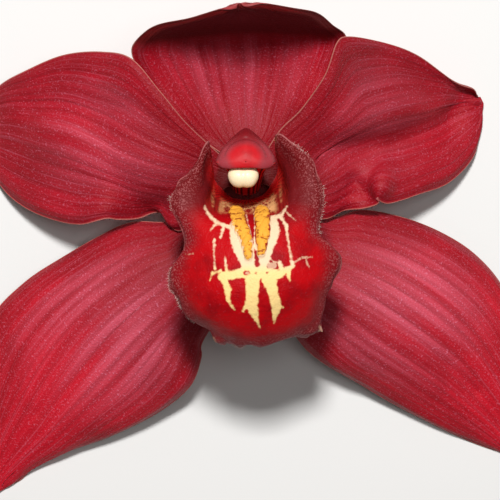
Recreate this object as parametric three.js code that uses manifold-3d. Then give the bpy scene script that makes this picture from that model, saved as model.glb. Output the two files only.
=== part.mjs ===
// A cut orchid bloom, resting on its back on a table and facing straight up.
// Millimetres, +Z up out of the face of the flower, +Y towards the dorsal sepal.
//
// Three sepals, two petals and a lip spread from the top of the ovary, around the column.
// The column carries the anther cap, and the cap covers the pollinarium. Behind the flower
// the ovary and its stalk curve down and lie along the table to a slanting cut.
//
// Each sepal, petal and the lip is a thin sheet: a surface spanned between a left margin,
// a midrib and a right margin, given a thickness that runs out to nothing at its edges.

import * as THREE from 'three';
import { LoftGeometry } from 'three/addons/geometries/LoftGeometry.js';
import { ParametricGeometry } from 'three/addons/geometries/ParametricGeometry.js';
import { mergeVertices } from 'three/addons/utils/BufferGeometryUtils.js';
import Module from 'manifold-3d';

const wasm = await Module();
wasm.setup();

// ---- Driving dimensions ----------------------------------------------------------------

const HEART_HEIGHT = 17.4;        // table to the heart, the point where all the tepals meet
const CLEARANCE = 0.3;            // between pieces that lie against each other

const DORSAL_SEPAL_LENGTH = 29.2; // claw to the top of the hood
const DORSAL_SEPAL_WIDTH = 43;
const LEFT_PETAL_LENGTH = 54;
const LEFT_PETAL_WIDTH = 34;
const RIGHT_PETAL_LENGTH = 48.5;
const RIGHT_PETAL_WIDTH = 33;
const LEFT_SEPAL_LENGTH = 79.5;
const LEFT_SEPAL_WIDTH = 40;
const RIGHT_SEPAL_LENGTH = 80.5;
const RIGHT_SEPAL_WIDTH = 38;

const SEPAL_THICKNESS = 1.2;
const PETAL_THICKNESS = 1.0;
const LIP_THICKNESS = 1.2;

const COLUMN_BASE_RADIUS = 3.4;
const COLUMN_FOOT = -0.6;         // the column's foot, just behind the heart
const COLUMN_LENGTH = 25;         // heart to the front of the hood
const COLUMN_HEAD_WIDTH = 11.6;
const CAP_SIZE = { x: 5.8, y: 3.8, z: 3.4 };
const CAP_SETBACK = 2.4;          // front of the hood to the middle of the cap
const CAP_CENTRE = { x: -0.5, y: 0.5, z: COLUMN_LENGTH - CAP_SETBACK };

const LIP_LENGTH = 33;            // heart to the lower edge of the mid-lobe, seen from the front
const LIP_WIDTH = 34.4;           // across the mid-lobe
const LIP_REACH = 26.6;           // heart to the front of the mid-lobe
const LIP_TWIST = 5.5;            // degrees, the lip hangs a little to one side
const KEEL_HEIGHT = 1.2;

const OVARY_RADIUS = 2.9;
const STALK_RADIUS = 2.3;
const STALK_REACH = 29;           // heart to the cut, along the table
const STALK_TOP_RADIUS = COLUMN_BASE_RADIUS + 0.2;

// ---- Tools for closed solids -----------------------------------------------------------

// Joins the coinciding vertices and drops the triangles that this leaves without area.
function closed(geometry) {
  const bare = new THREE.BufferGeometry();
  bare.setAttribute('position', geometry.getAttribute('position'));
  bare.setIndex(geometry.index);
  const merged = mergeVertices(bare, 0.002);
  const old = merged.index.array;
  const kept = [];
  for (let i = 0; i < old.length; i += 3) {
    const [a, b, c] = [old[i], old[i + 1], old[i + 2]];
    if (a !== b && b !== c && c !== a) kept.push(a, b, c);
  }
  merged.setIndex(kept);
  merged.computeVertexNormals();
  return merged;
}

function toManifold(geometry) {
  return new wasm.Manifold(new wasm.Mesh({
    numProp: 3,
    vertProperties: new Float32Array(geometry.attributes.position.array),
    triVerts: new Uint32Array(geometry.index.array),
  }));
}

function fromManifold(solid) {
  const mesh = solid.getMesh();
  const geometry = new THREE.BufferGeometry();
  geometry.setAttribute('position', new THREE.BufferAttribute(mesh.vertProperties, 3));
  geometry.setIndex(new THREE.BufferAttribute(mesh.triVerts, 1));
  return closed(geometry);
}

function ellipsoid(centre, size, fineness) {
  const geometry = new THREE.SphereGeometry(0.5, 2 * fineness, fineness + 2);
  geometry.scale(size.x, size.y, size.z);
  geometry.translate(centre.x, centre.y, centre.z);
  return closed(geometry);
}

// A sheet around a surface(u, v, target) with u from 0 at the claw to 1 at the tip and v from
// -1 at the left margin to 1 at the right one. relief(point) raises its front face.
function sheet(surface, { thickness, around, along, relief = () => 0 }) {
  const step = 0.004;
  const [here, ahead, behind, left, right] = Array.from({ length: 5 }, () => new THREE.Vector3());
  const solidPoint = (a, u, target) => {
    const v = Math.cos(2 * Math.PI * a);
    const side = -Math.sin(2 * Math.PI * a);
    surface(u, v, here);
    surface(Math.min(u + step, 1), v, ahead);
    surface(Math.max(u - step, 0), v, behind);
    surface(u, Math.max(v - step, -1), left);
    surface(u, Math.min(v + step, 1), right);
    const normal = right.sub(left).cross(ahead.sub(behind)).normalize();
    const ends = Math.sqrt(1 - Math.abs(2 * u - 1) ** 12);
    const margins = Math.sqrt(1 - v ** 6);
    const half = 0.5 * thickness * ends * margins;
    const lift = Math.sign(side) * half + (side > 0 ? relief(here) * margins * ends : 0);
    target.copy(here).addScaledVector(normal, Math.abs(side) < 1e-6 ? 0 : lift);
  };
  return closed(new ParametricGeometry(solidPoint, around, along));
}

// ---- Sepals and petals -----------------------------------------------------------------

const CLAW_START = COLUMN_BASE_RADIUS + 0.7;  // heart to the start of each claw
const SEPAL_CLAW = { width: 6, height: -0.2, curl: 0.6 };
const PETAL_CLAW = { width: 5.6, height: 2.2, curl: 0.9 };

// A rail is a smooth curve along the tepal. It starts on the claw, and its other points are
// given in percent: along the length, across the width, and up from the heart or down to the
// table in shares of the heart's height.
function rail(points, side, shape) {
  const rise = HEART_HEIGHT - 0.5 * shape.thickness;
  const start = new THREE.Vector3(0, side * 0.5 * shape.claw.width, shape.claw.height);
  start.z += Math.abs(side) * shape.claw.curl;
  const rest = points.map(([along, across, up]) => new THREE.Vector3(
    along * 0.01 * shape.length, across * 0.01 * shape.width, up * 0.01 * rise));
  return new THREE.CatmullRomCurve3([start, ...rest], false, 'catmullrom', 0.5);
}

function tepal(name, heading, shape, colour) {
  const left = rail(shape.left, 1, shape);
  const midrib = rail(shape.midrib, 0, shape);
  const right = rail(shape.right, -1, shape);
  const [l, m, r] = [new THREE.Vector3(), new THREE.Vector3(), new THREE.Vector3()];
  const surface = (u, v, target) => {
    left.getPoint(u, l);
    midrib.getPoint(u, m);
    right.getPoint(u, r);
    target.copy(m).addScaledVector(r, 0.5 * (v + v * v));
    target.addScaledVector(l, 0.5 * (v * v - v)).addScaledVector(m, -v * v);
    target.z += shape.channel * Math.sin(Math.PI * u) * (Math.abs(v) - v * v);
  };
  const geometry = sheet(surface, { thickness: shape.thickness, around: 24, along: 20 });
  const angle = THREE.MathUtils.degToRad(heading);
  const mesh = named(name, geometry, colour, 0.55);
  mesh.position.set(CLAW_START * Math.cos(angle), CLAW_START * Math.sin(angle), 0);
  mesh.rotation.z = angle;
  return mesh;
}

function named(name, geometry, colour, roughness) {
  const mesh = new THREE.Mesh(geometry, new THREE.MeshStandardMaterial({
    color: colour, roughness, metalness: 0,
  }));
  mesh.name = name;
  return mesh;
}

const SEPAL = { thickness: SEPAL_THICKNESS, claw: SEPAL_CLAW };
const PETAL = { thickness: PETAL_THICKNESS, claw: PETAL_CLAW };

// The dorsal sepal stands behind the column and bends forward into a hood.
const dorsalSepal = tepal('dorsal_sepal', 90, {
  ...SEPAL,
  length: DORSAL_SEPAL_LENGTH,
  width: DORSAL_SEPAL_WIDTH,
  channel: -1,
  left: [[19, 24, 3], [41, 38, 19], [60, 49, 34], [75, 53, 53], [85, 46, 76], [91, 31, 102],
    [95, 16, 124], [98, 4, 141]],
  midrib: [[21, 0, -14], [45, 1, -13], [69, 1, 5], [84, 2, 35], [92, 2, 71], [96, 3, 101],
    [98, 3, 126], [100, 3, 144]],
  right: [[21, -23, 3], [43, -35, 15], [65, -43, 22], [82, -47, 34], [90, -40, 66], [97, -30, 104],
    [100, -14, 129], [99, 1, 141]],
}, 0xa93340);

// Both petals arch out and down, with a fold in the lower half beside the lip.
const leftPetal = tepal('left_petal', 167, {
  ...PETAL,
  length: LEFT_PETAL_LENGTH,
  width: LEFT_PETAL_WIDTH,
  channel: -1.6,
  left: [[9, 31, -6], [14, 39, -13], [25, 34, -24], [39, 39, -6], [51, 48, -26], [67, 48, -53],
    [81, 41, -79], [92, 26, -95], [98, 9, -101]],
  midrib: [[11, 4, 11], [25, 6, 11], [38, 4, 6], [49, 0, -3], [62, -4, -18], [76, -4, -44],
    [88, -3, -69], [95, 2, -91], [100, 5, -101]],
  right: [[18, -24, 35], [31, -39, 47], [44, -54, 50], [56, -55, 24], [71, -49, -9], [85, -35, -41],
    [94, -24, -71], [98, -12, -91], [99, 2, -101]],
}, 0xb23a48);

const rightPetal = tepal('right_petal', 20, {
  ...PETAL,
  length: RIGHT_PETAL_LENGTH,
  width: RIGHT_PETAL_WIDTH,
  channel: -2.4,
  left: [[12, 22, 29], [24, 29, 40], [36, 42, 54], [46, 58, 60], [53, 59, 48], [64, 52, 14],
    [76, 39, -15], [86, 22, -41], [93, 7, -71], [97, 2, -88], [100, 1, -97]],
  midrib: [[15, -5, 11], [27, -2, 9], [37, 2, 5], [46, 5, -4], [54, 6, -15], [64, 5, -29],
    [74, 3, -47], [84, 2, -65], [92, 1, -82], [97, -1, -93], [100, -4, -99]],
  right: [[7, -31, -6], [18, -39, -14], [27, -38, -26], [34, -40, -18], [41, -37, -3], [45, -43, -18],
    [59, -44, -35], [73, -44, -62], [87, -35, -85], [94, -23, -97], [99, -8, -101]],
}, 0x942c36);

// The lateral sepals arch down from the heart and rest on the table along their margins.
const leftSepal = tepal('left_lateral_sepal', 231, {
  ...SEPAL,
  length: LEFT_SEPAL_LENGTH,
  width: LEFT_SEPAL_WIDTH,
  channel: 0.8,
  left: [[10, 16, -20], [21, 31, -26], [34, 36, -32], [38, 40, -41], [46, 44, -55], [56, 41, -72],
    [68, 30, -86], [79, 18, -95], [87, 9, -99], [94, 6, -101], [98, 2, -101]],
  midrib: [[11, 2, -13], [23, 4, -9], [30, 2, -9], [38, -2, -14], [47, -5, -22], [56, -6, -35],
    [67, -6, -51], [79, -5, -69], [90, -5, -87], [97, -4, -97], [100, 0, -101]],
  right: [[10, -11, -25], [16, -20, -41], [22, -34, -49], [30, -43, -56], [41, -51, -65],
    [52, -58, -76], [64, -60, -88], [76, -52, -97], [89, -34, -101], [96, -16, -101], [100, -3, -101]],
}, 0xb23443);

const rightSepal = tepal('right_lateral_sepal', 315, {
  ...SEPAL,
  length: RIGHT_SEPAL_LENGTH,
  width: RIGHT_SEPAL_WIDTH,
  channel: 0.8,
  left: [[10, 11, -25], [17, 21, -39], [21, 35, -49], [30, 48, -58], [40, 57, -66], [50, 62, -75],
    [60, 61, -87], [72, 52, -97], [84, 37, -101], [93, 20, -101], [100, 3, -101]],
  midrib: [[11, -5, -13], [22, -6, -9], [30, -1, -9], [39, 5, -14], [48, 9, -22], [57, 12, -35],
    [66, 14, -51], [76, 13, -69], [86, 10, -86], [94, 4, -97], [100, -1, -101]],
  right: [[10, -19, -20], [22, -37, -26], [32, -41, -34], [38, -42, -44], [45, -40, -56],
    [54, -34, -74], [66, -27, -88], [78, -19, -97], [87, -11, -101], [94, -4, -101], [99, -2, -101]],
}, 0xb5384a);

// ---- Lip -------------------------------------------------------------------------------

// Ribs of the right half from the midline out to the margin, one after another from the claw
// over the throat and its side lobes to the mid-lobe and its lower edge. In percent of the
// lip's half width, length and reach.
const LIP_RIBS = [
  [[0, -13, 4], [9, -12.6, 4], [15, -11.6, 4.4], [19, -10.6, 4.8], [22, -9.4, 5.4]],
  [[0, -13.8, 13], [12, -13, 13], [21, -11, 13], [26, -8, 14], [29, -4, 17]],
  [[0, -14.8, 25], [17, -13.6, 25], [31, -8.5, 25], [38, -1.5, 28], [41, 7, 32]],
  [[0, -17, 45], [23, -15.5, 45], [42, -8, 46], [47, 6, 48], [41, 25, 53]],
  [[0, -19, 56], [24, -17.5, 56], [44, -10, 56.5], [53, 3, 58.5], [57, 18, 63]],
  [[0, -21.5, 66], [25, -20, 66], [45, -14, 66], [59, -3, 68.5], [78, 6, 71]],
  [[0, -29, 83], [23, -28, 83], [45, -24, 81], [64, -18, 78], [86, -13, 73.5]],
  [[0, -41, 94], [23, -40.5, 94], [46, -38, 90], [64, -35, 83], [79, -36, 75.5]],
  [[0, -54.5, 100], [26, -54.5, 98.5], [52, -52, 93], [73, -49, 85], [100, -52, 76.5]],
  [[0, -67, 100], [29, -67, 98.5], [55, -66, 92.5], [73, -65, 84], [88, -67, 74]],
  [[0, -79, 95], [29, -78.5, 92.5], [53, -77.5, 86], [66, -76.5, 77.5], [77, -77, 68]],
  [[0, -90.5, 85], [27, -90, 82.5], [49, -88, 76.5], [62, -87, 70], [72, -87.5, 62.5]],
  [[0, -101, 69.5], [22, -99, 68.5], [41, -97, 65.5], [57, -97, 61.5], [71, -95.5, 58]],
];

// The left half mirrors the right one, but it is narrower or wider here and there, and the
// margin of its side lobe falls away faster.
const LEFT_SHARES = { 8: 0.98, 9: 1.04, 10: 1.08, 11: 0.86, 12: 0.76 };
const LEFT_MARGINS = { 4: [54, 12, 61], 5: [76, 2.5, 69] };

function lipRib(half, index) {
  const point = ([x, y, z], side) => new THREE.Vector3(
    side * x * 0.005 * LIP_WIDTH, y * 0.01 * LIP_LENGTH, z * 0.01 * LIP_REACH);
  const margin = LEFT_MARGINS[index] ?? half.at(-1);
  const left = [...half.slice(1, -1), margin].reverse();
  return new THREE.CatmullRomCurve3([
    ...left.map((p) => point(p, -(LEFT_SHARES[index] ?? 1))),
    ...half.map((p) => point(p, 1)),
  ], false, 'catmullrom', 0.5);
}

// The lip points down the bloom, so the left margin of its sheet is the one at +x.
function lipSurface() {
  const ribs = LIP_RIBS.map(lipRib);
  const along = new THREE.CatmullRomCurve3(ribs.map(() => new THREE.Vector3()), false,
    'catmullrom', 0.5);
  return (u, v, target) => {
    ribs.forEach((rib, i) => rib.getPoint(0.5 - 0.5 * v, along.points[i]));
    along.getPoint(u, target);
  };
}

// Two keels stand on the floor of the lip and draw together towards the mid-lobe.
function keelRelief(point) {
  const from = -0.14 * LIP_LENGTH;
  const to = -0.52 * LIP_LENGTH;
  const share = THREE.MathUtils.clamp((point.y - from) / (to - from), 0, 1);
  const spread = THREE.MathUtils.lerp(4.4, 2.2, share);
  const fade = Math.sin(Math.PI * Math.min(1, 0.12 + 0.88 * share));
  const deep = THREE.MathUtils.smoothstep(point.z, 0.45 * LIP_REACH, 0.7 * LIP_REACH);
  return KEEL_HEIGHT * deep * fade * Math.exp(-(((Math.abs(point.x) - spread) / 1.1) ** 2));
}

const lip = named('lip', sheet(lipSurface(), {
  thickness: LIP_THICKNESS, around: 60, along: 28, relief: keelRelief,
}), 0x8c1019, 0.75);
lip.rotation.z = THREE.MathUtils.degToRad(LIP_TWIST);

// ---- Column, anther cap and pollinarium ------------------------------------------------

// Cross-sections of the column from foot to hood: centre y, z in percent of the length, then
// half width in percent of the head's, and the height above and below the centre. The first
// one is the foot, whose place and width come from COLUMN_FOOT and COLUMN_BASE_RADIUS.
const COLUMN_SECTIONS = [
  [0.2, null, null, 3.2, 3.2],
  [0.6, 8, 55, 3.3, 3.1],
  [2.2, 28, 64, 3.7, 3.0],
  [3.2, 48, 72, 4.3, 2.9],
  [3.5, 64, 82, 5.6, 3.2],
  [3.4, 77, 98, 6.5, 3.5],
  [3.1, 87, 100, 6.0, 3.4],
  [2.8, 94, 88, 4.7, 3.0],
  [2.6, 98.5, 60, 2.8, 2.2],
  [2.5, 100, 26, 1.2, 1.0],
];

const COLUMN_SIDES = 22;
const COLUMN_CREST = 0.55;        // how much the column narrows towards its crest

function columnSection([y, z, width, above, below]) {
  const half = width === null ? COLUMN_BASE_RADIUS : 0.005 * width * COLUMN_HEAD_WIDTH;
  const place = z === null ? COLUMN_FOOT : 0.01 * z * COLUMN_LENGTH;
  return Array.from({ length: COLUMN_SIDES }, (_, i) => {
    const angle = 2 * Math.PI * i / COLUMN_SIDES;
    const [x, rise] = [Math.cos(angle), Math.sin(angle)];
    const narrowing = rise > 0 ? 1 - COLUMN_CREST * rise : 1;
    return new THREE.Vector3(half * x * narrowing, y + rise * (rise > 0 ? above : below), place);
  });
}

const columnBlank = closed(new LoftGeometry(COLUMN_SECTIONS.map(columnSection),
  { capStart: true, capEnd: true }));

function grown(size, by) {
  return { x: size.x + 2 * by, y: size.y + 2 * by, z: size.z + 2 * by };
}

// The cap is two rounded lobes side by side, with a groove between them.
const LOBE_SIZE = { x: 0.6 * CAP_SIZE.x, y: CAP_SIZE.y, z: CAP_SIZE.z };
const LOBE_OFFSET = 0.5 * (CAP_SIZE.x - LOBE_SIZE.x);

function twoLobes(centre, size, offset, fineness, growth = 0) {
  const lobe = (side) => toManifold(ellipsoid(
    { x: centre.x + side * offset, y: centre.y, z: centre.z }, grown(size, growth), fineness));
  return lobe(-1).add(lobe(1));
}

const POLLINIUM_SIZE = { x: 1.7, y: 2.0, z: 1.0 };
const POLLINIUM_OFFSET = 0.7;
const POLLINARIUM_CENTRE = {
  x: CAP_CENTRE.x,
  y: CAP_CENTRE.y + 0.6,
  z: CAP_CENTRE.z - 0.5 * (CAP_SIZE.z + POLLINIUM_SIZE.z) - CLEARANCE,
};

const capSolid = twoLobes(CAP_CENTRE, LOBE_SIZE, LOBE_OFFSET, 8);
const pollinariumSolid = twoLobes(POLLINARIUM_CENTRE, POLLINIUM_SIZE, POLLINIUM_OFFSET, 5);
const bed = twoLobes(CAP_CENTRE, LOBE_SIZE, LOBE_OFFSET, 8, CLEARANCE)
  .add(twoLobes(POLLINARIUM_CENTRE, POLLINIUM_SIZE, POLLINIUM_OFFSET, 5, CLEARANCE));

const column = named('column', fromManifold(toManifold(columnBlank).subtract(bed)), 0xc42a34, 0.45);
const antherCap = named('anther_cap', fromManifold(capSolid), 0xf4d6b4, 0.4);
const pollinarium = named('pollinarium', fromManifold(pollinariumSolid), 0xe8c060, 0.4);

// ---- Ovary and stalk -------------------------------------------------------------------

// The ovary leaves the heart backwards, turns and lies on the table, where it runs into the
// stalk. Six shallow ribs follow the ovary and fade out along the stalk.
function stalkGeometry() {
  const lying = HEART_HEIGHT - OVARY_RADIUS;
  const path = new THREE.CatmullRomCurve3([
    new THREE.Vector3(0, 0, COLUMN_FOOT - CLEARANCE),
    new THREE.Vector3(0, 0, -0.22 * HEART_HEIGHT),
    new THREE.Vector3(0, -2.2, -0.52 * HEART_HEIGHT),
    new THREE.Vector3(0, -7.5, -0.76 * HEART_HEIGHT),
    new THREE.Vector3(0, -0.48 * STALK_REACH, -lying),
    new THREE.Vector3(0, -0.74 * STALK_REACH, -HEART_HEIGHT + STALK_RADIUS + 0.2),
    new THREE.Vector3(0, -STALK_REACH, -HEART_HEIGHT + STALK_RADIUS),
  ], false, 'catmullrom', 0.5);
  const rings = 24;
  const sides = 18;
  const cutSlant = 0.45;
  const sections = [];
  for (let i = 0; i <= rings; i += 1) {
    const share = i / rings;
    const centre = path.getPointAt(share);
    const forward = path.getTangentAt(share);
    const up = forward.clone().cross(new THREE.Vector3(1, 0, 0)).normalize();
    const neck = Math.exp(-((share / 0.06) ** 2));
    const slim = THREE.MathUtils.smoothstep(share, 0.45, 0.95);
    const body = THREE.MathUtils.lerp(OVARY_RADIUS, STALK_RADIUS, slim);
    const radius = THREE.MathUtils.lerp(body, STALK_TOP_RADIUS, neck);
    const ribbing = 0.05 * (1 - slim) * (1 - neck);
    const slant = i === rings ? cutSlant : 0;
    sections.push(Array.from({ length: sides }, (_, k) => {
      const angle = 2 * Math.PI * k / sides;
      const out = radius * (1 - ribbing + ribbing * Math.cos(6 * angle));
      return centre.clone().addScaledVector(up, out * Math.sin(angle))
        .addScaledVector(forward, slant * out * Math.sin(angle))
        .add(new THREE.Vector3(out * Math.cos(angle), 0, 0));
    }));
  }
  return closed(new LoftGeometry(sections, { capStart: true, capEnd: true }));
}

const pedicel = named('pedicel', stalkGeometry(), 0x7a4a34, 0.55);

// ---- The flower, with its box centred on the origin and its lowest points on the table ---

const flower = new THREE.Group();
flower.add(dorsalSepal, leftPetal, rightPetal, leftSepal, rightSepal, lip, column, antherCap,
  pollinarium, pedicel);

flower.updateMatrixWorld(true);
const box = new THREE.Box3().setFromObject(flower, true);
const middle = box.getCenter(new THREE.Vector3());
flower.position.set(-middle.x, -middle.y, -box.min.z);

export default flower;
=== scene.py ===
"""A cut orchid bloom on its back, as a Blender add-on.

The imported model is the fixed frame. Each sepal, petal and the lip is a fine grid moved onto a
surface between its margins and its midrib, then given its thickness. The column, its cap and
the stalk are grids wrapped into closed skins. Sizes inside the shapes are in millimetres,
measured from the heart of the flower, and meet Blender's metres in one place, place_grid.
"""

import math

import bpy
import numpy as np
from bpy.props import FloatProperty, FloatVectorProperty, IntProperty, PointerProperty
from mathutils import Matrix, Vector


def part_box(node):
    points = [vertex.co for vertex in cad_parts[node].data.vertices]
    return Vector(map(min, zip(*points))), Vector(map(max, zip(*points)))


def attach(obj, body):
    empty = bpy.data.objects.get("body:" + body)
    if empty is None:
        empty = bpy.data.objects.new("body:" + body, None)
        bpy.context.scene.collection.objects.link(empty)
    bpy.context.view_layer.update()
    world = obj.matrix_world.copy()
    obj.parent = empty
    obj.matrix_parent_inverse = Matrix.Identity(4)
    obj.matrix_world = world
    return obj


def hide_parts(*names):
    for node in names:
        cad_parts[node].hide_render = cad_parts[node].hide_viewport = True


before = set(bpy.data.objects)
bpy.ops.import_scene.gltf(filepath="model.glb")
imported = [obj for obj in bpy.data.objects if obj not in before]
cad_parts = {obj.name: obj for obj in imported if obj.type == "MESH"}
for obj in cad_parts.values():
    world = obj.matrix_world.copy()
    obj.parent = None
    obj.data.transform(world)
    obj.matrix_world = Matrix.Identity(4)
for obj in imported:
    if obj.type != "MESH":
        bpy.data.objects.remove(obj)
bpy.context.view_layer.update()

bl_info = {
    "name": "Cut orchid bloom",
    "version": (1, 0, 0),
    "blender": (4, 5, 0),
    "location": "View3D > Sidebar > Orchid",
    "description": "Builds the sepals, petals, lip, column and stalk of a cut orchid bloom",
    "category": "Add Mesh",
}

MM = 0.001

# ---- The frame -------------------------------------------------------------------------

STALK_TOP_RADIUS = 3.6      # the stalk's widest ring, which tells where the heart is
STALK_TOP_DROP = 0.9        # that ring lies this far behind the heart


def find_heart():
    """The heart of the flower, where all the tepals meet, in metres."""
    low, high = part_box("pedicel")
    return Vector(((low.x + high.x) / 2, high.y - STALK_TOP_RADIUS * MM,
                   high.z + STALK_TOP_DROP * MM))


HEART = find_heart()
HEART_HEIGHT = HEART.z / MM

# ---- Curves and surfaces ---------------------------------------------------------------


def spline(points, t):
    """Points on a smooth curve through the given ones, for t from 0 to 1."""
    p = np.asarray(points, float)
    p = np.concatenate([2 * p[:1] - p[1:2], p, 2 * p[-1:] - p[-2:-1]])
    last = len(p) - 3
    place = np.clip(np.asarray(t, float), 0, 1) * last
    i = np.minimum(place.astype(int), last - 1)
    f = (place - i).reshape(-1, *[1] * (p.ndim - 1))
    a, b, c, d = p[i], p[i + 1], p[i + 2], p[i + 3]
    return 0.5 * (2 * b + (c - a) * f + (2 * a - 5 * b + 4 * c - d) * f ** 2
                  + (3 * b - a - 3 * c + d) * f ** 3)


def smooth(value, low, high):
    """0 below low, 1 above high, and an S curve between them."""
    t = np.clip((np.asarray(value, float) - low) / (high - low), 0, 1)
    return t * t * (3 - 2 * t)


def normals_of(grid):
    """Unit normals of a grid of points that runs outwards, then from left to right."""
    normal = np.cross(np.gradient(grid, axis=1), np.gradient(grid, axis=0))
    return normal / np.maximum(np.linalg.norm(normal, axis=2, keepdims=True), 1e-9)


def ripples(u, v, seed, count=9, low=2.0, high=9.0):
    """A gentle random relief over a surface, about -1 to 1."""
    draw = np.random.default_rng(seed)
    total = np.zeros((len(u), len(v)))
    for _ in range(count):
        along, across = draw.uniform(low, high), draw.uniform(-0.5, 0.5) * high
        phase = draw.uniform(0, 2 * math.pi)
        total += np.sin(along * u[:, None] + across * v[None, :] + phase)
    return total / math.sqrt(count)


def margin_distance(grid):
    """Distance in mm from each point of a grid to its nearer margin."""
    steps = np.linalg.norm(np.diff(grid, axis=1), axis=2)
    across = np.concatenate([np.zeros((len(grid), 1)), np.cumsum(steps, axis=1)], axis=1)
    return np.minimum(across, across[:, -1:] - across)


def line_depth(x, y, lines):
    """How far inside the lines each point lies, in mm, below zero outside them."""
    depth = np.full(x.shape, -99.0)
    for line in lines:
        for (x0, y0, r0), (x1, y1, r1) in zip(line, line[1:]):
            dx, dy = x1 - x0, y1 - y0
            t = np.clip(((x - x0) * dx + (y - y0) * dy) / (dx * dx + dy * dy), 0, 1)
            away = np.hypot(x - x0 - t * dx, y - y0 - t * dy)
            depth = np.maximum(depth, r0 + t * (r1 - r0) - away)
    return depth


# ---- Meshes ----------------------------------------------------------------------------


def start_clean():
    """Leaves no object selected, so that an operator acts on the new one only."""
    if bpy.context.object and bpy.context.object.mode != "OBJECT":
        bpy.ops.object.mode_set(mode="OBJECT")
    bpy.ops.object.select_all(action="DESELECT")


def new_grid(name, rows, columns):
    """A flat grid, with each vertex's row and column."""
    start_clean()
    bpy.ops.mesh.primitive_grid_add(x_subdivisions=columns, y_subdivisions=rows, size=1,
                                    location=(0, 0, 0), calc_uvs=True)
    piece = bpy.context.object
    piece.name = piece.data.name = name
    flat = np.zeros(len(piece.data.vertices) * 3)
    piece.data.vertices.foreach_get("co", flat)
    flat = flat.reshape(-1, 3)
    column = np.rint((flat[:, 0] + 0.5) * columns).astype(int)
    row = np.rint((flat[:, 1] + 0.5) * rows).astype(int)
    return piece, row, column


def place_grid(name, grid, marks=None):
    """A mesh of a grid of points in mm from the heart. marks are named values per point."""
    rows, columns = grid.shape[0] - 1, grid.shape[1] - 1
    piece, row, column = new_grid(name, rows, columns)
    place = grid[row, column] * MM + np.array(HEART)
    piece.data.vertices.foreach_set("co", place.astype(np.float32).ravel())
    for mark, values in (marks or {}).items():
        layer = piece.data.attributes.new(mark, "FLOAT", "POINT")
        layer.data.foreach_set("value", values[row, column].astype(np.float32))
    piece.data.update()
    return piece


def give_thickness(piece, thickness, share):
    """Turns a sheet into a thin body. share gives each vertex its part of the thickness."""
    group = piece.vertex_groups.new(name="thickness")
    for index, weight in enumerate(share):
        group.add([index], float(weight), "REPLACE")
    solidify = piece.modifiers.new("Thickness", "SOLIDIFY")
    solidify.thickness = thickness * MM
    solidify.offset = 0
    solidify.vertex_group = group.name
    solidify.use_even_offset = False
    solidify.material_offset = 1
    solidify.material_offset_rim = 0
    bpy.ops.object.modifier_apply(modifier=solidify.name)
    piece.vertex_groups.clear()


def merge_and_face_out(piece, distance=0.005 * MM):
    bpy.context.view_layer.objects.active = piece
    bpy.ops.object.mode_set(mode="EDIT")
    bpy.ops.mesh.select_all(action="SELECT")
    bpy.ops.mesh.remove_doubles(threshold=distance)
    bpy.ops.mesh.normals_make_consistent(inside=False)
    bpy.ops.object.mode_set(mode="OBJECT")


def finish_piece(piece, slot, *nodes):
    """Smooths a finished piece and ties it to the frame."""
    start_clean()
    piece.select_set(True)
    bpy.context.view_layer.objects.active = piece
    bpy.ops.object.shade_smooth()
    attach(piece, "root")
    if nodes:
        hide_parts(*nodes)
    return piece


# ---- Material helpers ------------------------------------------------------------------


def new_material(name, colour):
    """A material with its Principled shader, and the colour shown in solid view."""
    material = bpy.data.materials.new(name)
    material.use_nodes = True
    material.diffuse_color = (*colour, 1)
    return material, material.node_tree, material.node_tree.nodes["Principled BSDF"]


def put(tree, kind, inputs=None, **settings):
    """Adds a node. inputs maps its sockets to constants or to the sockets that feed them."""
    node = tree.nodes.new(kind)
    for key, value in settings.items():
        setattr(node, key, value)
    for key, value in (inputs or {}).items():
        if isinstance(value, bpy.types.NodeSocket):
            tree.links.new(value, node.inputs[key])
        else:
            node.inputs[key].default_value = value
    return node


def attribute(tree, name):
    return put(tree, "ShaderNodeAttribute", attribute_name=name).outputs["Fac"]


def calc(tree, operation, a, b=0.0):
    return put(tree, "ShaderNodeMath", {0: a, 1: b}, operation=operation).outputs[0]


def fade(tree, value, low, high, to_low=0.0, to_high=1.0):
    """value from low..high to to_low..to_high along an S curve."""
    return put(tree, "ShaderNodeMapRange",
               {"Value": value, "From Min": low, "From Max": high,
                "To Min": to_low, "To Max": to_high},
               interpolation_type="SMOOTHSTEP").outputs["Result"]


def blend(tree, share, first, second):
    """first where share is 0, second where it is 1. Colours are RGB tuples or sockets."""
    rgba = [c if isinstance(c, bpy.types.NodeSocket) else (*c, 1) for c in (first, second)]
    node = put(tree, "ShaderNodeMix", {0: share, 6: rgba[0], 7: rgba[1]},
               data_type="RGBA", blend_type="MIX")
    return node.outputs[2]


def object_noise(tree, scale, detail=2.0, stretch=(1, 1, 1), roughness=0.5):
    """Noise on the object's own coordinates, in grains per metre."""
    where = put(tree, "ShaderNodeTexCoord").outputs["Object"]
    mapped = put(tree, "ShaderNodeMapping", {"Vector": where, "Scale": stretch})
    return put(tree, "ShaderNodeTexNoise",
               {"Vector": mapped.outputs[0], "Scale": scale, "Detail": detail,
                "Roughness": roughness}).outputs["Fac"]


def uv_noise(tree, scale, stretch, detail=2.0):
    """Noise on the piece's UV map, drawn out along it by the stretch."""
    where = put(tree, "ShaderNodeTexCoord").outputs["UV"]
    mapped = put(tree, "ShaderNodeMapping", {"Vector": where, "Scale": stretch})
    return put(tree, "ShaderNodeTexNoise",
               {"Vector": mapped.outputs[0], "Scale": scale, "Detail": detail}).outputs["Fac"]


def bump(tree, height, strength, distance, below=None):
    inputs = {"Height": height, "Strength": strength, "Distance": distance}
    if below is not None:
        inputs["Normal"] = below
    return put(tree, "ShaderNodeBump", inputs).outputs["Normal"]


# ---- Sepals and petals -----------------------------------------------------------------

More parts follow.
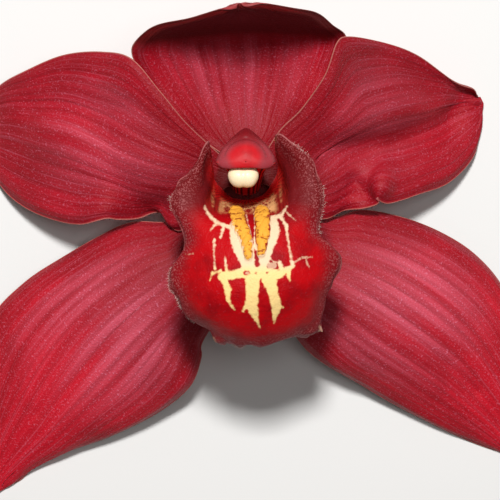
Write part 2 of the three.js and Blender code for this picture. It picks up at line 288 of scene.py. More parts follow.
CLAW_START = 4.1            # mm from the heart to the start of each claw
CLAW_ROOT = 2.2             # the claw runs in this much further, under the column's foot
SEPAL_CLAW = {"claw_width": 6.0, "claw_height": -0.2, "claw_curl": 0.6}
PETAL_CLAW = {"claw_width": 5.6, "claw_height": 2.2, "claw_curl": 0.9}
TEPAL_ROWS = 150
TEPAL_COLUMNS = 104
ROOT_ROWS = 0.04            # share of the rows that the claw's root takes
HOOD_SHADE = 1.5            # how dark the inside of the dorsal hood is
CLAW_SHADE = 1.5            # and the claws

# Points on the left margin, the midrib and the right margin, in percent: along the length,
# across the width, and up from the heart or down to the table in shares of its height.
DORSAL_SEPAL = {
    **SEPAL_CLAW, "node": "dorsal_sepal", "heading": 90, "length": 29.2, "width": 43,
    "channel": -1, "veins": 15, "seed": 3,
    "left": [(19, 24, 3), (41, 38, 19), (60, 49, 34), (75, 53, 53), (85, 46, 76),
             (91, 31, 102), (95, 16, 124), (98, 4, 141)],
    "midrib": [(21, 0, -14), (45, 1, -13), (69, 1, 5), (84, 2, 35), (92, 2, 71),
               (96, 3, 101), (98, 3, 126), (100, 3, 144)],
    "right": [(21, -23, 3), (43, -35, 15), (65, -43, 22), (82, -47, 34), (90, -40, 66),
              (97, -30, 104), (100, -14, 129), (99, 1, 141)],
}
LEFT_PETAL = {
    **PETAL_CLAW, "node": "left_petal", "heading": 167, "length": 54, "width": 34,
    "channel": -1.6, "veins": 15, "seed": 5,
    "left": [(9, 31, -6), (14, 39, -13), (25, 34, -24), (39, 39, -6), (51, 48, -26),
             (67, 48, -53), (81, 41, -79), (92, 26, -95), (98, 9, -101)],
    "midrib": [(11, 4, 11), (25, 6, 11), (38, 4, 6), (49, 0, -3), (62, -4, -18),
               (76, -4, -44), (88, -3, -69), (95, 2, -91), (100, 5, -101)],
    "right": [(18, -24, 35), (31, -39, 47), (44, -54, 50), (56, -55, 24), (71, -49, -9),
              (85, -35, -41), (94, -24, -71), (98, -12, -91), (99, 2, -101)],
}
RIGHT_PETAL = {
    **PETAL_CLAW, "node": "right_petal", "heading": 20, "length": 48.5, "width": 33,
    "channel": -2.4, "veins": 15, "seed": 8,
    "left": [(12, 22, 29), (24, 29, 40), (36, 42, 54), (46, 58, 60), (53, 59, 48),
             (64, 52, 14), (76, 39, -15), (86, 22, -41), (93, 7, -71), (97, 2, -88),
             (100, 1, -97)],
    "midrib": [(15, -5, 11), (27, -2, 9), (37, 2, 5), (46, 5, -4), (54, 6, -15),
               (64, 5, -29), (74, 3, -47), (84, 2, -65), (92, 1, -82), (97, -1, -93),
               (100, -4, -99)],
    "right": [(7, -31, -6), (18, -39, -14), (27, -38, -26), (34, -40, -18), (41, -37, -3),
              (45, -43, -18), (59, -44, -35), (73, -44, -62), (87, -35, -85),
              (94, -23, -97), (99, -8, -101)],
}
LEFT_SEPAL = {
    **SEPAL_CLAW, "node": "left_lateral_sepal", "heading": 231, "length": 79.5, "width": 40,
    "channel": 0.8, "veins": 17, "seed": 12,
    "left": [(10, 16, -20), (21, 31, -26), (34, 36, -32), (38, 40, -41), (46, 44, -55),
             (56, 41, -72), (68, 30, -86), (79, 18, -95), (87, 9, -99), (94, 6, -101),
             (98, 2, -101)],
    "midrib": [(11, 2, -13), (23, 4, -9), (30, 2, -9), (38, -2, -14), (47, -5, -22),
               (56, -6, -35), (67, -6, -51), (79, -5, -69), (90, -5, -87), (97, -4, -97),
               (100, 0, -101)],
    "right": [(10, -11, -25), (16, -20, -41), (22, -34, -49), (30, -43, -56),
              (41, -51, -65), (52, -58, -76), (64, -60, -88), (76, -52, -97),
              (89, -34, -101), (96, -16, -101), (100, -3, -101)],
}
RIGHT_SEPAL = {
    **SEPAL_CLAW, "node": "right_lateral_sepal", "heading": 315, "length": 80.5, "width": 38,
    "channel": 0.8, "veins": 17, "seed": 17,
    "left": [(10, 11, -25), (17, 21, -39), (21, 35, -49), (30, 48, -58), (40, 57, -66),
             (50, 62, -75), (60, 61, -87), (72, 52, -97), (84, 37, -101), (93, 20, -101),
             (100, 3, -101)],
    "midrib": [(11, -5, -13), (22, -6, -9), (30, -1, -9), (39, 5, -14), (48, 9, -22),
               (57, 12, -35), (66, 14, -51), (76, 13, -69), (86, 10, -86), (94, 4, -97),
               (100, -1, -101)],
    "right": [(10, -19, -20), (22, -37, -26), (32, -41, -34), (38, -42, -44),
              (45, -40, -56), (54, -34, -74), (66, -27, -88), (78, -19, -97),
              (87, -11, -101), (94, -4, -101), (99, -2, -101)],
}


def rail(shape, side, name, thickness, t):
    """Points along one margin or the midrib, in the tepal's own frame, x outwards."""
    rise = HEART_HEIGHT - 0.5 * thickness
    height = shape["claw_height"] + abs(side) * shape["claw_curl"]
    across = side * 0.5 * shape["claw_width"]
    root = (-CLAW_ROOT, 0.6 * across, shape["claw_height"])
    claw = (0, across, height)
    share = np.array([shape["length"], shape["width"], rise]) * 0.01
    points = [root, claw, *(np.array(p) * share for p in shape[name])]
    last = len(points) - 1
    first = 1 / last
    # The root takes a short first stretch, so the rest keeps the rows of the outline.
    t = np.where(t < ROOT_ROWS, t / ROOT_ROWS * first,
                 first + (t - ROOT_ROWS) / (1 - ROOT_ROWS) * (1 - first))
    return spline(points, t)


# Hollows and swellings of the blades, in mm in each tepal's own frame: lines of (x, y) with
# the reach of the hollow to its sides and its height, below zero for a hollow.
DENTS = {
    "right_petal": [([(12, -0.5), (27, -3.4), (38, -3.4), (45, -1.2)], 3.6, -2.6),
                    ([(17, -8), (19, -13)], 1.8, -1.3), ([(22.5, -9), (23.5, -13)], 2.2, 0.3),
                    ([(22, -9.5), (36, -9)], 3.5, 0.8),
                    ([(20, 5), (34, 4)], 3.5, 0.9)],
    "left_petal": [([(12, 9.5), (15, 12), (19, 14)], 3.2, -2.2),
                   ([(12, -2), (24, 2), (38, 0)], 4.5, 0.9),
                   ([(24, -8), (42, -5)], 3.0, -0.8)],
    "dorsal_sepal": [([(4, 0), (20, 0.6)], 1.0, -0.35)],
    "left_lateral_sepal": [([(16, 0), (60, -3)], 1.6, -0.45), ([(14, 7), (30, 10)], 4.5, -1.2)],
    "right_lateral_sepal": [([(16, 0), (60, 3)], 1.6, -0.45), ([(14, -7), (30, -10)], 4.5, -1.2)],
}


def dent_height(name, x, y):
    total = np.zeros(x.shape)
    for line, reach, height in DENTS[name]:
        away = -line_depth(x, y, [[(px, py, 0) for px, py in line]])
        total += height * np.exp(-(away / reach) ** 2)
    return total


def tepal_grid(shape, thickness):
    u = np.linspace(0, 1, TEPAL_ROWS + 1)
    v = np.sin(np.linspace(-0.5, 0.5, TEPAL_COLUMNS + 1) * math.pi * 0.9)
    v /= v[-1]
    left = rail(shape, 1, "left", thickness, u)[:, None]
    midrib = rail(shape, 0, "midrib", thickness, u)[:, None]
    right = rail(shape, -1, "right", thickness, u)[:, None]
    w = v[None, :, None]
    grid = midrib * (1 - w * w) + 0.5 * right * (w + w * w) + 0.5 * left * (w * w - w)
    grid[..., 2] += shape["channel"] * np.sin(math.pi * u)[:, None] * (np.abs(v) - v * v)
    return u, v, grid


def vein_lines(shape, u, v, wobble):
    """1 on a vein, 0 between veins. The veins run from the claw to the tip."""
    count = shape["veins"]
    drift = wobble * 0.16
    position = (v[None, :] + drift / count) * count / 2
    nearest = np.abs(position - np.rint(position))
    lines = np.exp(-(nearest / 0.16) ** 2)
    strength = 0.55 + 0.45 * smooth(np.sin(np.rint(position) * 2.4 + 1.1), -1, 1)
    ends = smooth(u, 0.02, 0.12) * (1 - smooth(u, 0.9, 1))
    return lines * strength * ends[:, None]


def turn(grid, degrees):
    a = math.radians(degrees)
    spin = np.array([[math.cos(a), math.sin(a), 0], [-math.sin(a), math.cos(a), 0], [0, 0, 1]])
    return grid @ spin


def add_tepal(shape, thickness, sizes, front, back, slot):
    u, v, grid = tepal_grid(shape, thickness)
    wobble = ripples(u, v, shape["seed"], low=3, high=8)
    veins = vein_lines(shape, u, v, wobble)
    edge = margin_distance(grid)
    flutter = ripples(u, v, shape["seed"] + 1, low=10, high=34) * (1 - smooth(edge, 0, 5))
    blade = smooth(u, 0.05, 0.25) * (1 - smooth(u, 0.93, 1))
    dimples = ripples(u, v, shape["seed"] + 2, low=6, high=16)
    lift = sizes.flutter * flutter * blade[:, None] + sizes.dimples * dimples * blade[:, None]
    lift -= sizes.vein_depth * veins
    raised = smooth(grid[..., 2] + HEART_HEIGHT, 1, 5)
    lift += dent_height(shape["node"], grid[..., 0], grid[..., 1]) * blade[:, None] * raised
    # The margin rolls back a little, which shows as a soft bright rim.
    lift -= sizes.margin_roll * (1 - smooth(edge, 0, 1.6)) * blade[:, None]
    grid = grid + normals_of(grid) * lift[..., None]
    share = 0.16 + 0.84 * smooth(edge, 0, 2.2)
    # Where a blade lies on the table, its lower face does not go through it.
    grid[..., 2] = np.maximum(grid[..., 2], 0.5 * thickness * share - HEART_HEIGHT)
    grid[..., 0] += CLAW_START
    grid = turn(grid, shape["heading"])
    lateral = "lateral" in shape["node"]
    # Painted shade: the blades are painted darker towards the heart, where the lip, column and
    # other tepals shade them. The right petal is also darker over its inner half, where it folds
    # away from the light.
    shade = 1 - smooth(u, 0.04, 0.6 if lateral else 0.45)
    if shape["node"] == "right_petal":
        shade = np.maximum(shade, 0.4 * (1 - smooth(u, 0.5, 0.9)))
    # Painted shadow inside the dorsal hood, which its own rim shades.
    if shape["node"] == "dorsal_sepal":
        shade = np.maximum(shade, HOOD_SHADE * smooth(u, 0.44, 0.62))
    painted_shade = np.repeat(shade[:, None], len(v), axis=1)
    # Painted sheen: lighter pink satin bands along the middle of each blade, where the light
    # glances off the velvet.
    satin = smooth(u, 0.2, 0.42) if lateral else smooth(u, 0.08, 0.3)
    painted_sheen = smooth(edge, 3, 12) * (satin * (1 - smooth(u, 0.42, 0.75)))[:, None]
    painted_sheen *= 1.8 if lateral else 0.85
    # Painted light: the outer halves of the lateral sepals are painted a brighter red, standing in
    # for the light they catch.
    bright = np.repeat(smooth(u, 0.35, 0.7)[:, None] * lateral, len(v), axis=1)
    # Painted shade: the claws crowd together in the dark behind the column, so they are painted
    # darkest.
    claw = 1 - smooth(np.hypot(grid[..., 0], grid[..., 1]), 5.5, 8)
    painted_shade = np.maximum(painted_shade, CLAW_SHADE * claw)
    edge = edge + 3 * smooth(u, 0.95, 1)[:, None]
    piece = place_grid(shape["node"] + "_blade", grid,
                       {"vein": veins, "edge": edge, "share": share, "painted_shade": painted_shade,
                        "painted_sheen": painted_sheen, "bright": bright})
    piece.data.materials.append(front)
    piece.data.materials.append(back)
    weights = np.zeros(len(piece.data.vertices), np.float32)
    piece.data.attributes["share"].data.foreach_get("value", weights)
    give_thickness(piece, thickness, weights)
    return finish_piece(piece, slot, shape["node"])


def tepal_material(name, colours, deep, edge_colour):
    """Velvety petal tissue: darker veins, a thin pale margin, painted glints, painted sheen,
    painted light and painted shade.
    """
    material, tree, shader = new_material(name, colours.tepal)
    vein = attribute(tree, "vein")
    edge = attribute(tree, "edge")
    patches = fade(tree, object_noise(tree, 75, 3), 0.35, 0.7)
    streaks = fade(tree, uv_noise(tree, 1.0, (34, 2.2, 1), 4), 0.3, 0.72)
    # Painted light on the outer halves of the lateral sepals.
    colour = blend(tree, attribute(tree, "bright"), colours.tepal, colours.bright)
    colour = blend(tree, calc(tree, "MULTIPLY", patches, 0.45), colour, deep)
    colour = blend(tree, calc(tree, "MULTIPLY", streaks, 0.35), colour, deep)
    colour = blend(tree, calc(tree, "MULTIPLY", vein, 0.3), colour, colours.vein)
    grains = object_noise(tree, 2600, 2, roughness=0.7)
    # Painted sheen: fine lighter streaks along the blade.
    fine = fade(tree, uv_noise(tree, 1.0, (120, 3, 1), 3), 0.52, 0.72)
    colour = blend(tree, calc(tree, "MULTIPLY", fine, 0.16), colour, colours.painted_glint)
    # Painted sheen in streaky bands, with the veins darker inside it.
    bands = fade(tree, uv_noise(tree, 1.0, (16, 1.2, 1), 2), 0.3, 0.66)
    painted_sheen = calc(tree, "MULTIPLY", attribute(tree, "painted_sheen"), bands)
    colour = blend(tree, calc(tree, "MULTIPLY", painted_sheen, 0.38), colour, colours.painted_sheen)
    colour = blend(tree, calc(tree, "MULTIPLY", calc(tree, "MULTIPLY", vein, painted_sheen), 0.45),
                   colour, deep)
    # Painted glints: fine pale specks that stand in for the sparkle of the papillae, stronger in
    # the painted sheen.
    painted_glints = fade(tree, grains, 0.56, 0.72)
    sparkle = calc(tree, "ADD", calc(tree, "MULTIPLY", painted_sheen, 0.3), 0.34)
    colour = blend(tree, calc(tree, "MULTIPLY", painted_glints, sparkle), colour, colours.painted_glint)
    # Painted shade from the mark, and darker towards the margins, where the blades turn away from
    # the light.
    painted_shade = calc(tree, "MAXIMUM", attribute(tree, "painted_shade"), fade(tree, edge, 0.2, 5.0, 0.5, 0.0))
    colour = blend(tree, calc(tree, "MULTIPLY", painted_shade, 0.72), colour, deep)
    rim = fade(tree, edge, 0.05, 0.3, 1.0, 0.0)
    colour = blend(tree, calc(tree, "MULTIPLY", rim, 0.6), colour, edge_colour)
    # Painted shade: the deepest red inside the hood and round the claws.
    colour = blend(tree, fade(tree, painted_shade, 0.95, 1.5, 0.0, 0.85), colour, colours.hood)
    papillae = bump(tree, grains, 0.75, 0.00022)
    relief = bump(tree, streaks, 0.25, 0.0003, papillae)
    tree.links.new(colour, shader.inputs["Base Color"])
    tree.links.new(relief, shader.inputs["Normal"])
    shader.inputs["Roughness"].default_value = 0.5
    shader.inputs["Specular IOR Level"].default_value = 0.2
    shader.inputs["Sheen Weight"].default_value = 0.03
    shader.inputs["Sheen Roughness"].default_value = 0.35
    shader.inputs["Sheen Tint"].default_value = (1.0, 0.5, 0.55, 1)
    return material


def back_material(name, colours):
    """The back of a tepal: duller, with patches of the upper side's red and raised veins."""
    material, tree, shader = new_material(name, colours.back)
    vein = attribute(tree, "vein")
    patches = fade(tree, object_noise(tree, 60, 3), 0.35, 0.7)
    colour = blend(tree, calc(tree, "MULTIPLY", patches, 0.5), colours.back, colours.tepal)
    colour = blend(tree, calc(tree, "MULTIPLY", vein, 0.4), colour, colours.vein)
    grains = object_noise(tree, 1800, 2)
    relief = bump(tree, grains, 0.3, 0.0002)
    relief = bump(tree, vein, 0.5, 0.0004, relief)
    tree.links.new(colour, shader.inputs["Base Color"])
    tree.links.new(relief, shader.inputs["Normal"])
    shader.inputs["Roughness"].default_value = 0.5
    return material


# ---- Lip -------------------------------------------------------------------------------

LIP_LENGTH, LIP_WIDTH, LIP_REACH = 33.0, 34.4, 26.6
LIP_TWIST = 5.5             # degrees, the lip hangs a little to one side
HAIR_RADIUS = 0.03          # mm, at a hair's foot
LIP_ROWS, LIP_COLUMNS = 200, 170

# Ribs of the half at +x, from the midline to the margin and from the claw to the lower edge,
# in percent of the lip's half width, length and reach.
LIP_RIBS = [
    [(0, -13, 4), (9, -12.6, 4), (15, -11.6, 4.4), (19, -10.6, 4.8), (22, -9.4, 5.4)],
    [(0, -13.8, 13), (12, -13, 13), (21, -11, 13), (26, -8, 14), (29, -4, 17)],
    [(0, -14.8, 25), (17, -13.6, 25), (31, -8.5, 25), (38, -1.5, 28), (41, 7, 32)],
    [(0, -17, 45), (23, -15.5, 45), (42, -8, 46), (47, 6, 48), (41, 25, 53)],
    [(0, -19, 56), (24, -17.5, 56), (44, -10, 56.5), (53, 3, 58.5), (57, 18, 63)],
    [(0, -21.5, 66), (25, -20, 66), (45, -14, 66), (59, -3, 68.5), (78, 6, 71)],
    [(0, -29, 83), (23, -28, 83), (45, -24, 81), (64, -18, 78), (86, -13, 73.5)],
    [(0, -41, 94), (23, -40.5, 94), (46, -38, 90), (64, -35, 83), (79, -36, 75.5)],
    [(0, -54.5, 100), (26, -54.5, 98.5), (52, -52, 93), (73, -49, 85), (100, -52, 76.5)],
    [(0, -67, 100), (29, -67, 98.5), (55, -66, 92.5), (73, -65, 84), (88, -67, 74)],
    [(0, -79, 95), (29, -78.5, 92.5), (53, -77.5, 86), (66, -76.5, 77.5), (77, -77, 68)],
    [(0, -90.5, 85), (27, -90, 82.5), (49, -88, 76.5), (62, -87, 70), (72, -87.5, 62.5)],
    [(0, -101, 69.5), (22, -99, 68.5), (41, -97, 65.5), (57, -97, 61.5), (71, -95.5, 58)],
]
LEFT_SHARES = {8: 0.98, 9: 1.04, 10: 1.08, 11: 0.86, 12: 0.76}
LEFT_MARGINS = {4: (54, 12, 61), 5: (76, 2.5, 69)}

# Pale lines on the lip and the red gaps in them, in mm from the heart as seen from the
# front: x, y and half width of each point.
CREAM_LINES = [
    [(-8.4, -5.7, 0.15), (-7.2, -7.6, 0.25), (-5.7, -9, 0.3), (-3.5, -9.8, 0.4), (-2, -10, 0.6)],
    [(-5.7, -9, 0.25), (-6.7, -10.4, 0.12)],
    [(-4.3, -9.8, 0.35), (-4.8, -11.8, 0.2)],
    [(-2.3, -9.9, 0.85), (-1.9, -12, 1.15), (-1.2, -14, 1.15), (-0.6, -15.6, 0.85),
     (0.3, -17.6, 0.75)],
    [(-6, -12.1, 0.22), (-6, -15, 0.15), (-5.7, -17.7, 0.22)],
    [(-3.9, -15.3, 0.12), (-3.5, -18.4, 0.3)],
    [(-4.7, -18.1, 0.25), (-6.2, -18.5, 0.25), (-6.7, -19.9, 0.1)],
    [(-4.3, -19.1, 0.85), (-1.6, -18.7, 0.8), (0, -18.4, 0.95), (3.1, -18.3, 1.2),
     (6.2, -18.8, 0.8), (8.9, -17.2, 0.35)],
    [(-4.1, -19.5, 0.6), (-3.3, -21.6, 0.65), (-3.3, -23.1, 0.45), (-2.1, -25.3, 0.12)],
    [(0.9, -13.4, 0.65), (1.1, -16, 0.6), (1, -18.3, 0.9)],
    [(1.9, -13.2, 0.5), (3.2, -15.5, 0.65), (3.2, -18, 0.8)],
    [(5.3, -8.6, 0.85), (5.5, -10.5, 1.05), (4.8, -13.3, 0.85), (4.1, -15.3, 0.65),
     (3.5, -17.5, 0.7)],
    [(5.1, -8.2, 0.5), (7, -7.6, 0.35), (8.2, -5.8, 0.12)],
    [(6.8, -8, 0.3), (7.8, -9.4, 0.35), (8, -12.1, 0.18), (8.4, -15.2, 0.18), (8.8, -17.2, 0.35)],
    [(4.3, -15.6, 0.3), (6.2, -16.5, 0.35), (7, -18.3, 0.5)],
    [(1.4, -19.5, 1.4), (1.2, -21.8, 1.2), (1.2, -24.6, 1.05), (2.1, -26.9, 0.55),
     (2.7, -28.7, 0.1)],
    [(0.5, -23.8, 0.6), (-0.4, -25.4, 0.2)],
    [(4.3, -19.5, 1.4), (5.1, -21.8, 0.9), (5.7, -24.4, 1.0), (5.5, -26.1, 0.6), (5.3, -27.8, 0.1)],
    [(5.8, -24.1, 0.6), (6.9, -24.7, 0.15)],
    [(7.8, -17.9, 0.6), (8.2, -20, 0.12)],
    [(0.1, -7.6, 0.12), (0.8, -11.3, 0.16), (1.2, -13.4, 0.3)],
    [(2.1, -7.2, 0.12), (1.8, -11.3, 0.16), (1.7, -13.4, 0.3)],
]
FAINT_LINES = [
    [(-6, -31, 0.3), (-5.8, -32.6, 0.8)], [(14.1, -28.9, 0.3), (15.1, -30, 0.8)],
    [(7.8, -6.8, 0.2), (9.6, -8.5, 0.1)],
    [(9, -16.5, 0.2), (10.5, -15.7, 0.22), (12.6, -15.4, 0.1)],
    [(11.3, -15.9, 0.2), (11.9, -17.7, 0.1)],
    [(-11.3, -15, 0.12), (-9.9, -14.8, 0.1)],
    [(4.6, -17.2, 0.6), (5.3, -17.2, 0.6)],
    [(0.1, -18.5, 0.3), (0.4, -18.5, 0.3)],
]
RED_GAPS = [
    [(2.1, -14.8, 0.35), (2.2, -17, 0.45)],
    [(5.8, -13.9, 0.6), (5.6, -15.7, 0.75)],
    [(-1.5, -21, 0.95), (-1.7, -23.4, 1.15)],
    [(3.1, -20.8, 0.35), (3.2, -23.5, 0.9), (3.8, -27.5, 1.3)],
    [(4.4, -17.2, 0.5), (5.4, -17.2, 0.55)],
    [(0, -18.5, 0.32), (0.5, -18.5, 0.32)],
    [(1.9, -18.6, 0.12), (2.0, -18.6, 0.12)],
    [(3.9, -18.5, 0.12), (4.0, -18.5, 0.12)],
]
KEELS = [
    [(-1.9, -7.4, 1.05), (-1.4, -9.2, 0.95), (-0.5, -10.9, 0.8), (0, -12.2, 0.65),
     (0.4, -14, 0.45), (0.6, -15.7, 0.2)],
    [(3.2, -7.3, 1.1), (3.4, -9.2, 0.95), (3.3, -11.6, 0.8), (3.1, -13.1, 0.5), (3, -15, 0.25)],
]
KEEL_HEIGHT = 1.0

# The folds where the lip's upright walls turn out into its side lobes, and the golden streaks
# inside them.
FOLDS = [
    [(-8.2, -6.2, 0.1), (-8.8, -4.3, 0.1), (-8, -1.4, 0.1), (-7.4, 2.5, 0.1), (-7.8, 7.4, 0.1)],
    [(8.6, -6.2, 0.1), (9.4, -2.3, 0.1), (8.6, 1.6, 0.1), (6.9, 5.5, 0.1), (6, 8.8, 0.1)],
]
GOLD_STREAKS = [
    [(-6.9, -1, 0.1), (-7, -3.5, 0.3), (-6.7, -5.8, 0.1)],
    [(-4.9, -2.4, 0.2), (-5, -6.8, 0.5)],
    [(5.4, 2.2, 0.1), (5.6, -1.5, 0.3), (5.3, -5, 0.5)],
    [(7, 1.4, 0.1), (7.3, -2, 0.22), (7.1, -4.8, 0.1)],
]


def between_folds(x, y):
    """1 between the two folds of the lip, 0 outside them."""
    left, right = (np.interp(y, [p[1] for p in fold], [p[0] for p in fold]) for fold in FOLDS)
    return smooth(x - left, 0, 0.5) * smooth(right - x, 0, 0.5) * smooth(y, -7.6, -6.2)


def lip_surface():
    """The middle of the lip's sheet, its columns running from the margin at +x to -x."""
    v = np.linspace(1, 0, LIP_COLUMNS + 1)
    size = np.array([0.5 * LIP_WIDTH, LIP_LENGTH, LIP_REACH]) * 0.01
    ribs = []
    for index, half in enumerate(LIP_RIBS):
        share = LEFT_SHARES.get(index, 1)
        other = [*half[1:-1], LEFT_MARGINS.get(index, half[-1])][::-1]
        points = [(-share * x, y, z) for x, y, z in other] + half
        ribs.append(spline(np.array(points) * size, v))
    return spline(np.array(ribs), np.linspace(0, 1, LIP_ROWS + 1))


def add_lip(sizes, colours, inside, outside):
    grid = lip_surface()
    rows, columns = np.linspace(0, 1, LIP_ROWS + 1), np.linspace(-1, 1, LIP_COLUMNS + 1)
    steps = np.linalg.norm(np.diff(grid, axis=0), axis=2)
    along = np.concatenate([np.cumsum(steps[::-1], axis=0)[::-1], np.zeros((1, steps.shape[1]))])
    edge = np.minimum(margin_distance(grid), along)
    seen = turn(grid, LIP_TWIST)
    x, y, z = seen[..., 0], seen[..., 1], seen[..., 2]
    warts = 1 + 0.3 * ripples(rows, columns, 24, low=60, high=240)
    keel = KEEL_HEIGHT * smooth(line_depth(x, y, KEELS), -0.7, 0.6) * smooth(z, 8, 14) * warts
    keel = np.clip(keel, 0, KEEL_HEIGHT)
    crinkle = ripples(rows, columns, 21, low=14, high=46) * (1 - smooth(edge, 0, 3.5))
    swell = ripples(rows, columns, 22, low=5, high=14)
    blade = smooth(rows, 0.25, 0.45)[:, None]
    lift = blade * (sizes.lip_flutter * crinkle + sizes.dimples * swell) + 0.5 * keel
    lift -= blade * sizes.margin_roll * (1 - smooth(edge, 0, 1.4))
    lift += sizes.fold * np.exp(-(line_depth(x, y, FOLDS) / 0.55) ** 2) * smooth(y, -6, -3.5)
    ragged = ripples(rows, columns, 23, low=30, high=110) + 0.8 * crinkle
    push = blade * sizes.lip_ragged * ragged * (1 - smooth(edge, 0, 1.8))
    seen = seen + normals_of(seen) * lift[..., None] + outward(seen, edge) * push[..., None]
    full = sizes.lip + KEEL_HEIGHT
    share = (sizes.lip * (0.2 + 0.8 * smooth(edge, 0, 1.8)) + keel) / full
    pale = np.minimum(line_depth(x, y, CREAM_LINES), -line_depth(x, y, RED_GAPS))
    down = smooth(z, 7, 12) * smooth(y, -7.6, -6.2) * (1 - smooth(np.abs(x - 0.5), 4.9, 6.3))
    marks = {
        "pale": np.maximum(pale, -3), "faint": np.maximum(line_depth(x, y, FAINT_LINES), -3),
        "keel": np.maximum(line_depth(x, y, KEELS), -3), "edge": edge, "share": share,
        "yellow": 1 - smooth(y, -18.6, -16.4), "down": down,
        "deep": 1 - smooth(z, 7, 15), "lobe": smooth(y, -10, -4) * smooth(z, 8, 12),
        "wall": between_folds(x, y), "streak": np.maximum(line_depth(x, y, GOLD_STREAKS), -3),
    }
    lip = place_grid("lip_blade", seen, marks)
    lip.data.materials.append(inside)
    lip.data.materials.append(outside)
    weights = np.zeros(len(lip.data.vertices), np.float32)
    lip.data.attributes["share"].data.foreach_get("value", weights)
    give_thickness(lip, full, weights)
    margins = (edge < 0.5) & (smooth(swell + crinkle, 0.2, 0.9) > 0.5) & (rows > 0.25)[:, None]
    add_hairs(lip, seen, edge, margins, sizes.hairs, sizes.hair_length,
              hair_material("margin_hair", colours.hair))
    add_hairs(lip, seen, edge, down > 0.3, 2 * sizes.hairs, 0.7 * sizes.hair_length,
              hair_material("throat_down", colours.tan))
    return finish_piece(lip, "lip", "lip")


def outward(grid, edge):
    """Unit vectors along a sheet towards its nearest margin."""
    total = np.zeros(grid.shape)
    for axis in (0, 1):
        step = np.gradient(grid, axis=axis)
        total -= np.gradient(edge, axis=axis)[..., None] * step / np.maximum(
            np.sum(step ** 2, axis=2, keepdims=True), 1e-9)
    return total / np.maximum(np.linalg.norm(total, axis=2, keepdims=True), 1e-9)


def add_hairs(lip, grid, edge, where, count, length, material):
    """Sets stiff hairs on the points that where marks, leaning outwards, joined to the lip."""
    draw = np.random.default_rng(31)
    near = np.argwhere(where)
    chosen = tuple(near[draw.choice(len(near), count)].T)
    foot = grid[chosen]
    spread = draw.uniform(0.1, 1, (count, 1))
    direction = outward(grid, edge)[chosen] * spread + normals_of(grid)[chosen] * 0.6
    direction += draw.normal(0, 0.35, foot.shape)
    direction /= np.linalg.norm(direction, axis=1, keepdims=True)
    side = np.cross(direction, draw.normal(0, 1, foot.shape))
    side /= np.linalg.norm(side, axis=1, keepdims=True)
    third = np.cross(direction, side)
    corners = [foot + HAIR_RADIUS * (math.cos(a) * side + math.sin(a) * third)
               for a in (0, 2.1, 4.2)]
    tips = foot + direction * draw.uniform(0.5, 1, (count, 1)) * length
    points = np.stack([*corners, tips], axis=1).reshape(-1, 3)
    faces = [(4 * i + a, 4 * i + b, 4 * i + c) for i in range(count)
             for a, b, c in ((0, 1, 3), (1, 2, 3), (2, 0, 3), (0, 2, 1))]
    mesh = bpy.data.meshes.new("lip_hairs")
    mesh.from_pydata((points * MM + np.array(HEART)).tolist(), [], faces)
    hairs = bpy.data.objects.new("lip_hairs", mesh)
    bpy.context.collection.objects.link(hairs)
    mesh.materials.append(material)
    start_clean()
    hairs.select_set(True)
    lip.select_set(True)
    bpy.context.view_layer.objects.active = lip
    bpy.ops.object.join()


def hair_material(name, colour):
    material, tree, shader = new_material(name, colour)
    shader.inputs["Base Color"].default_value = (*colour, 1)
    shader.inputs["Roughness"].default_value = 0.4
    return material


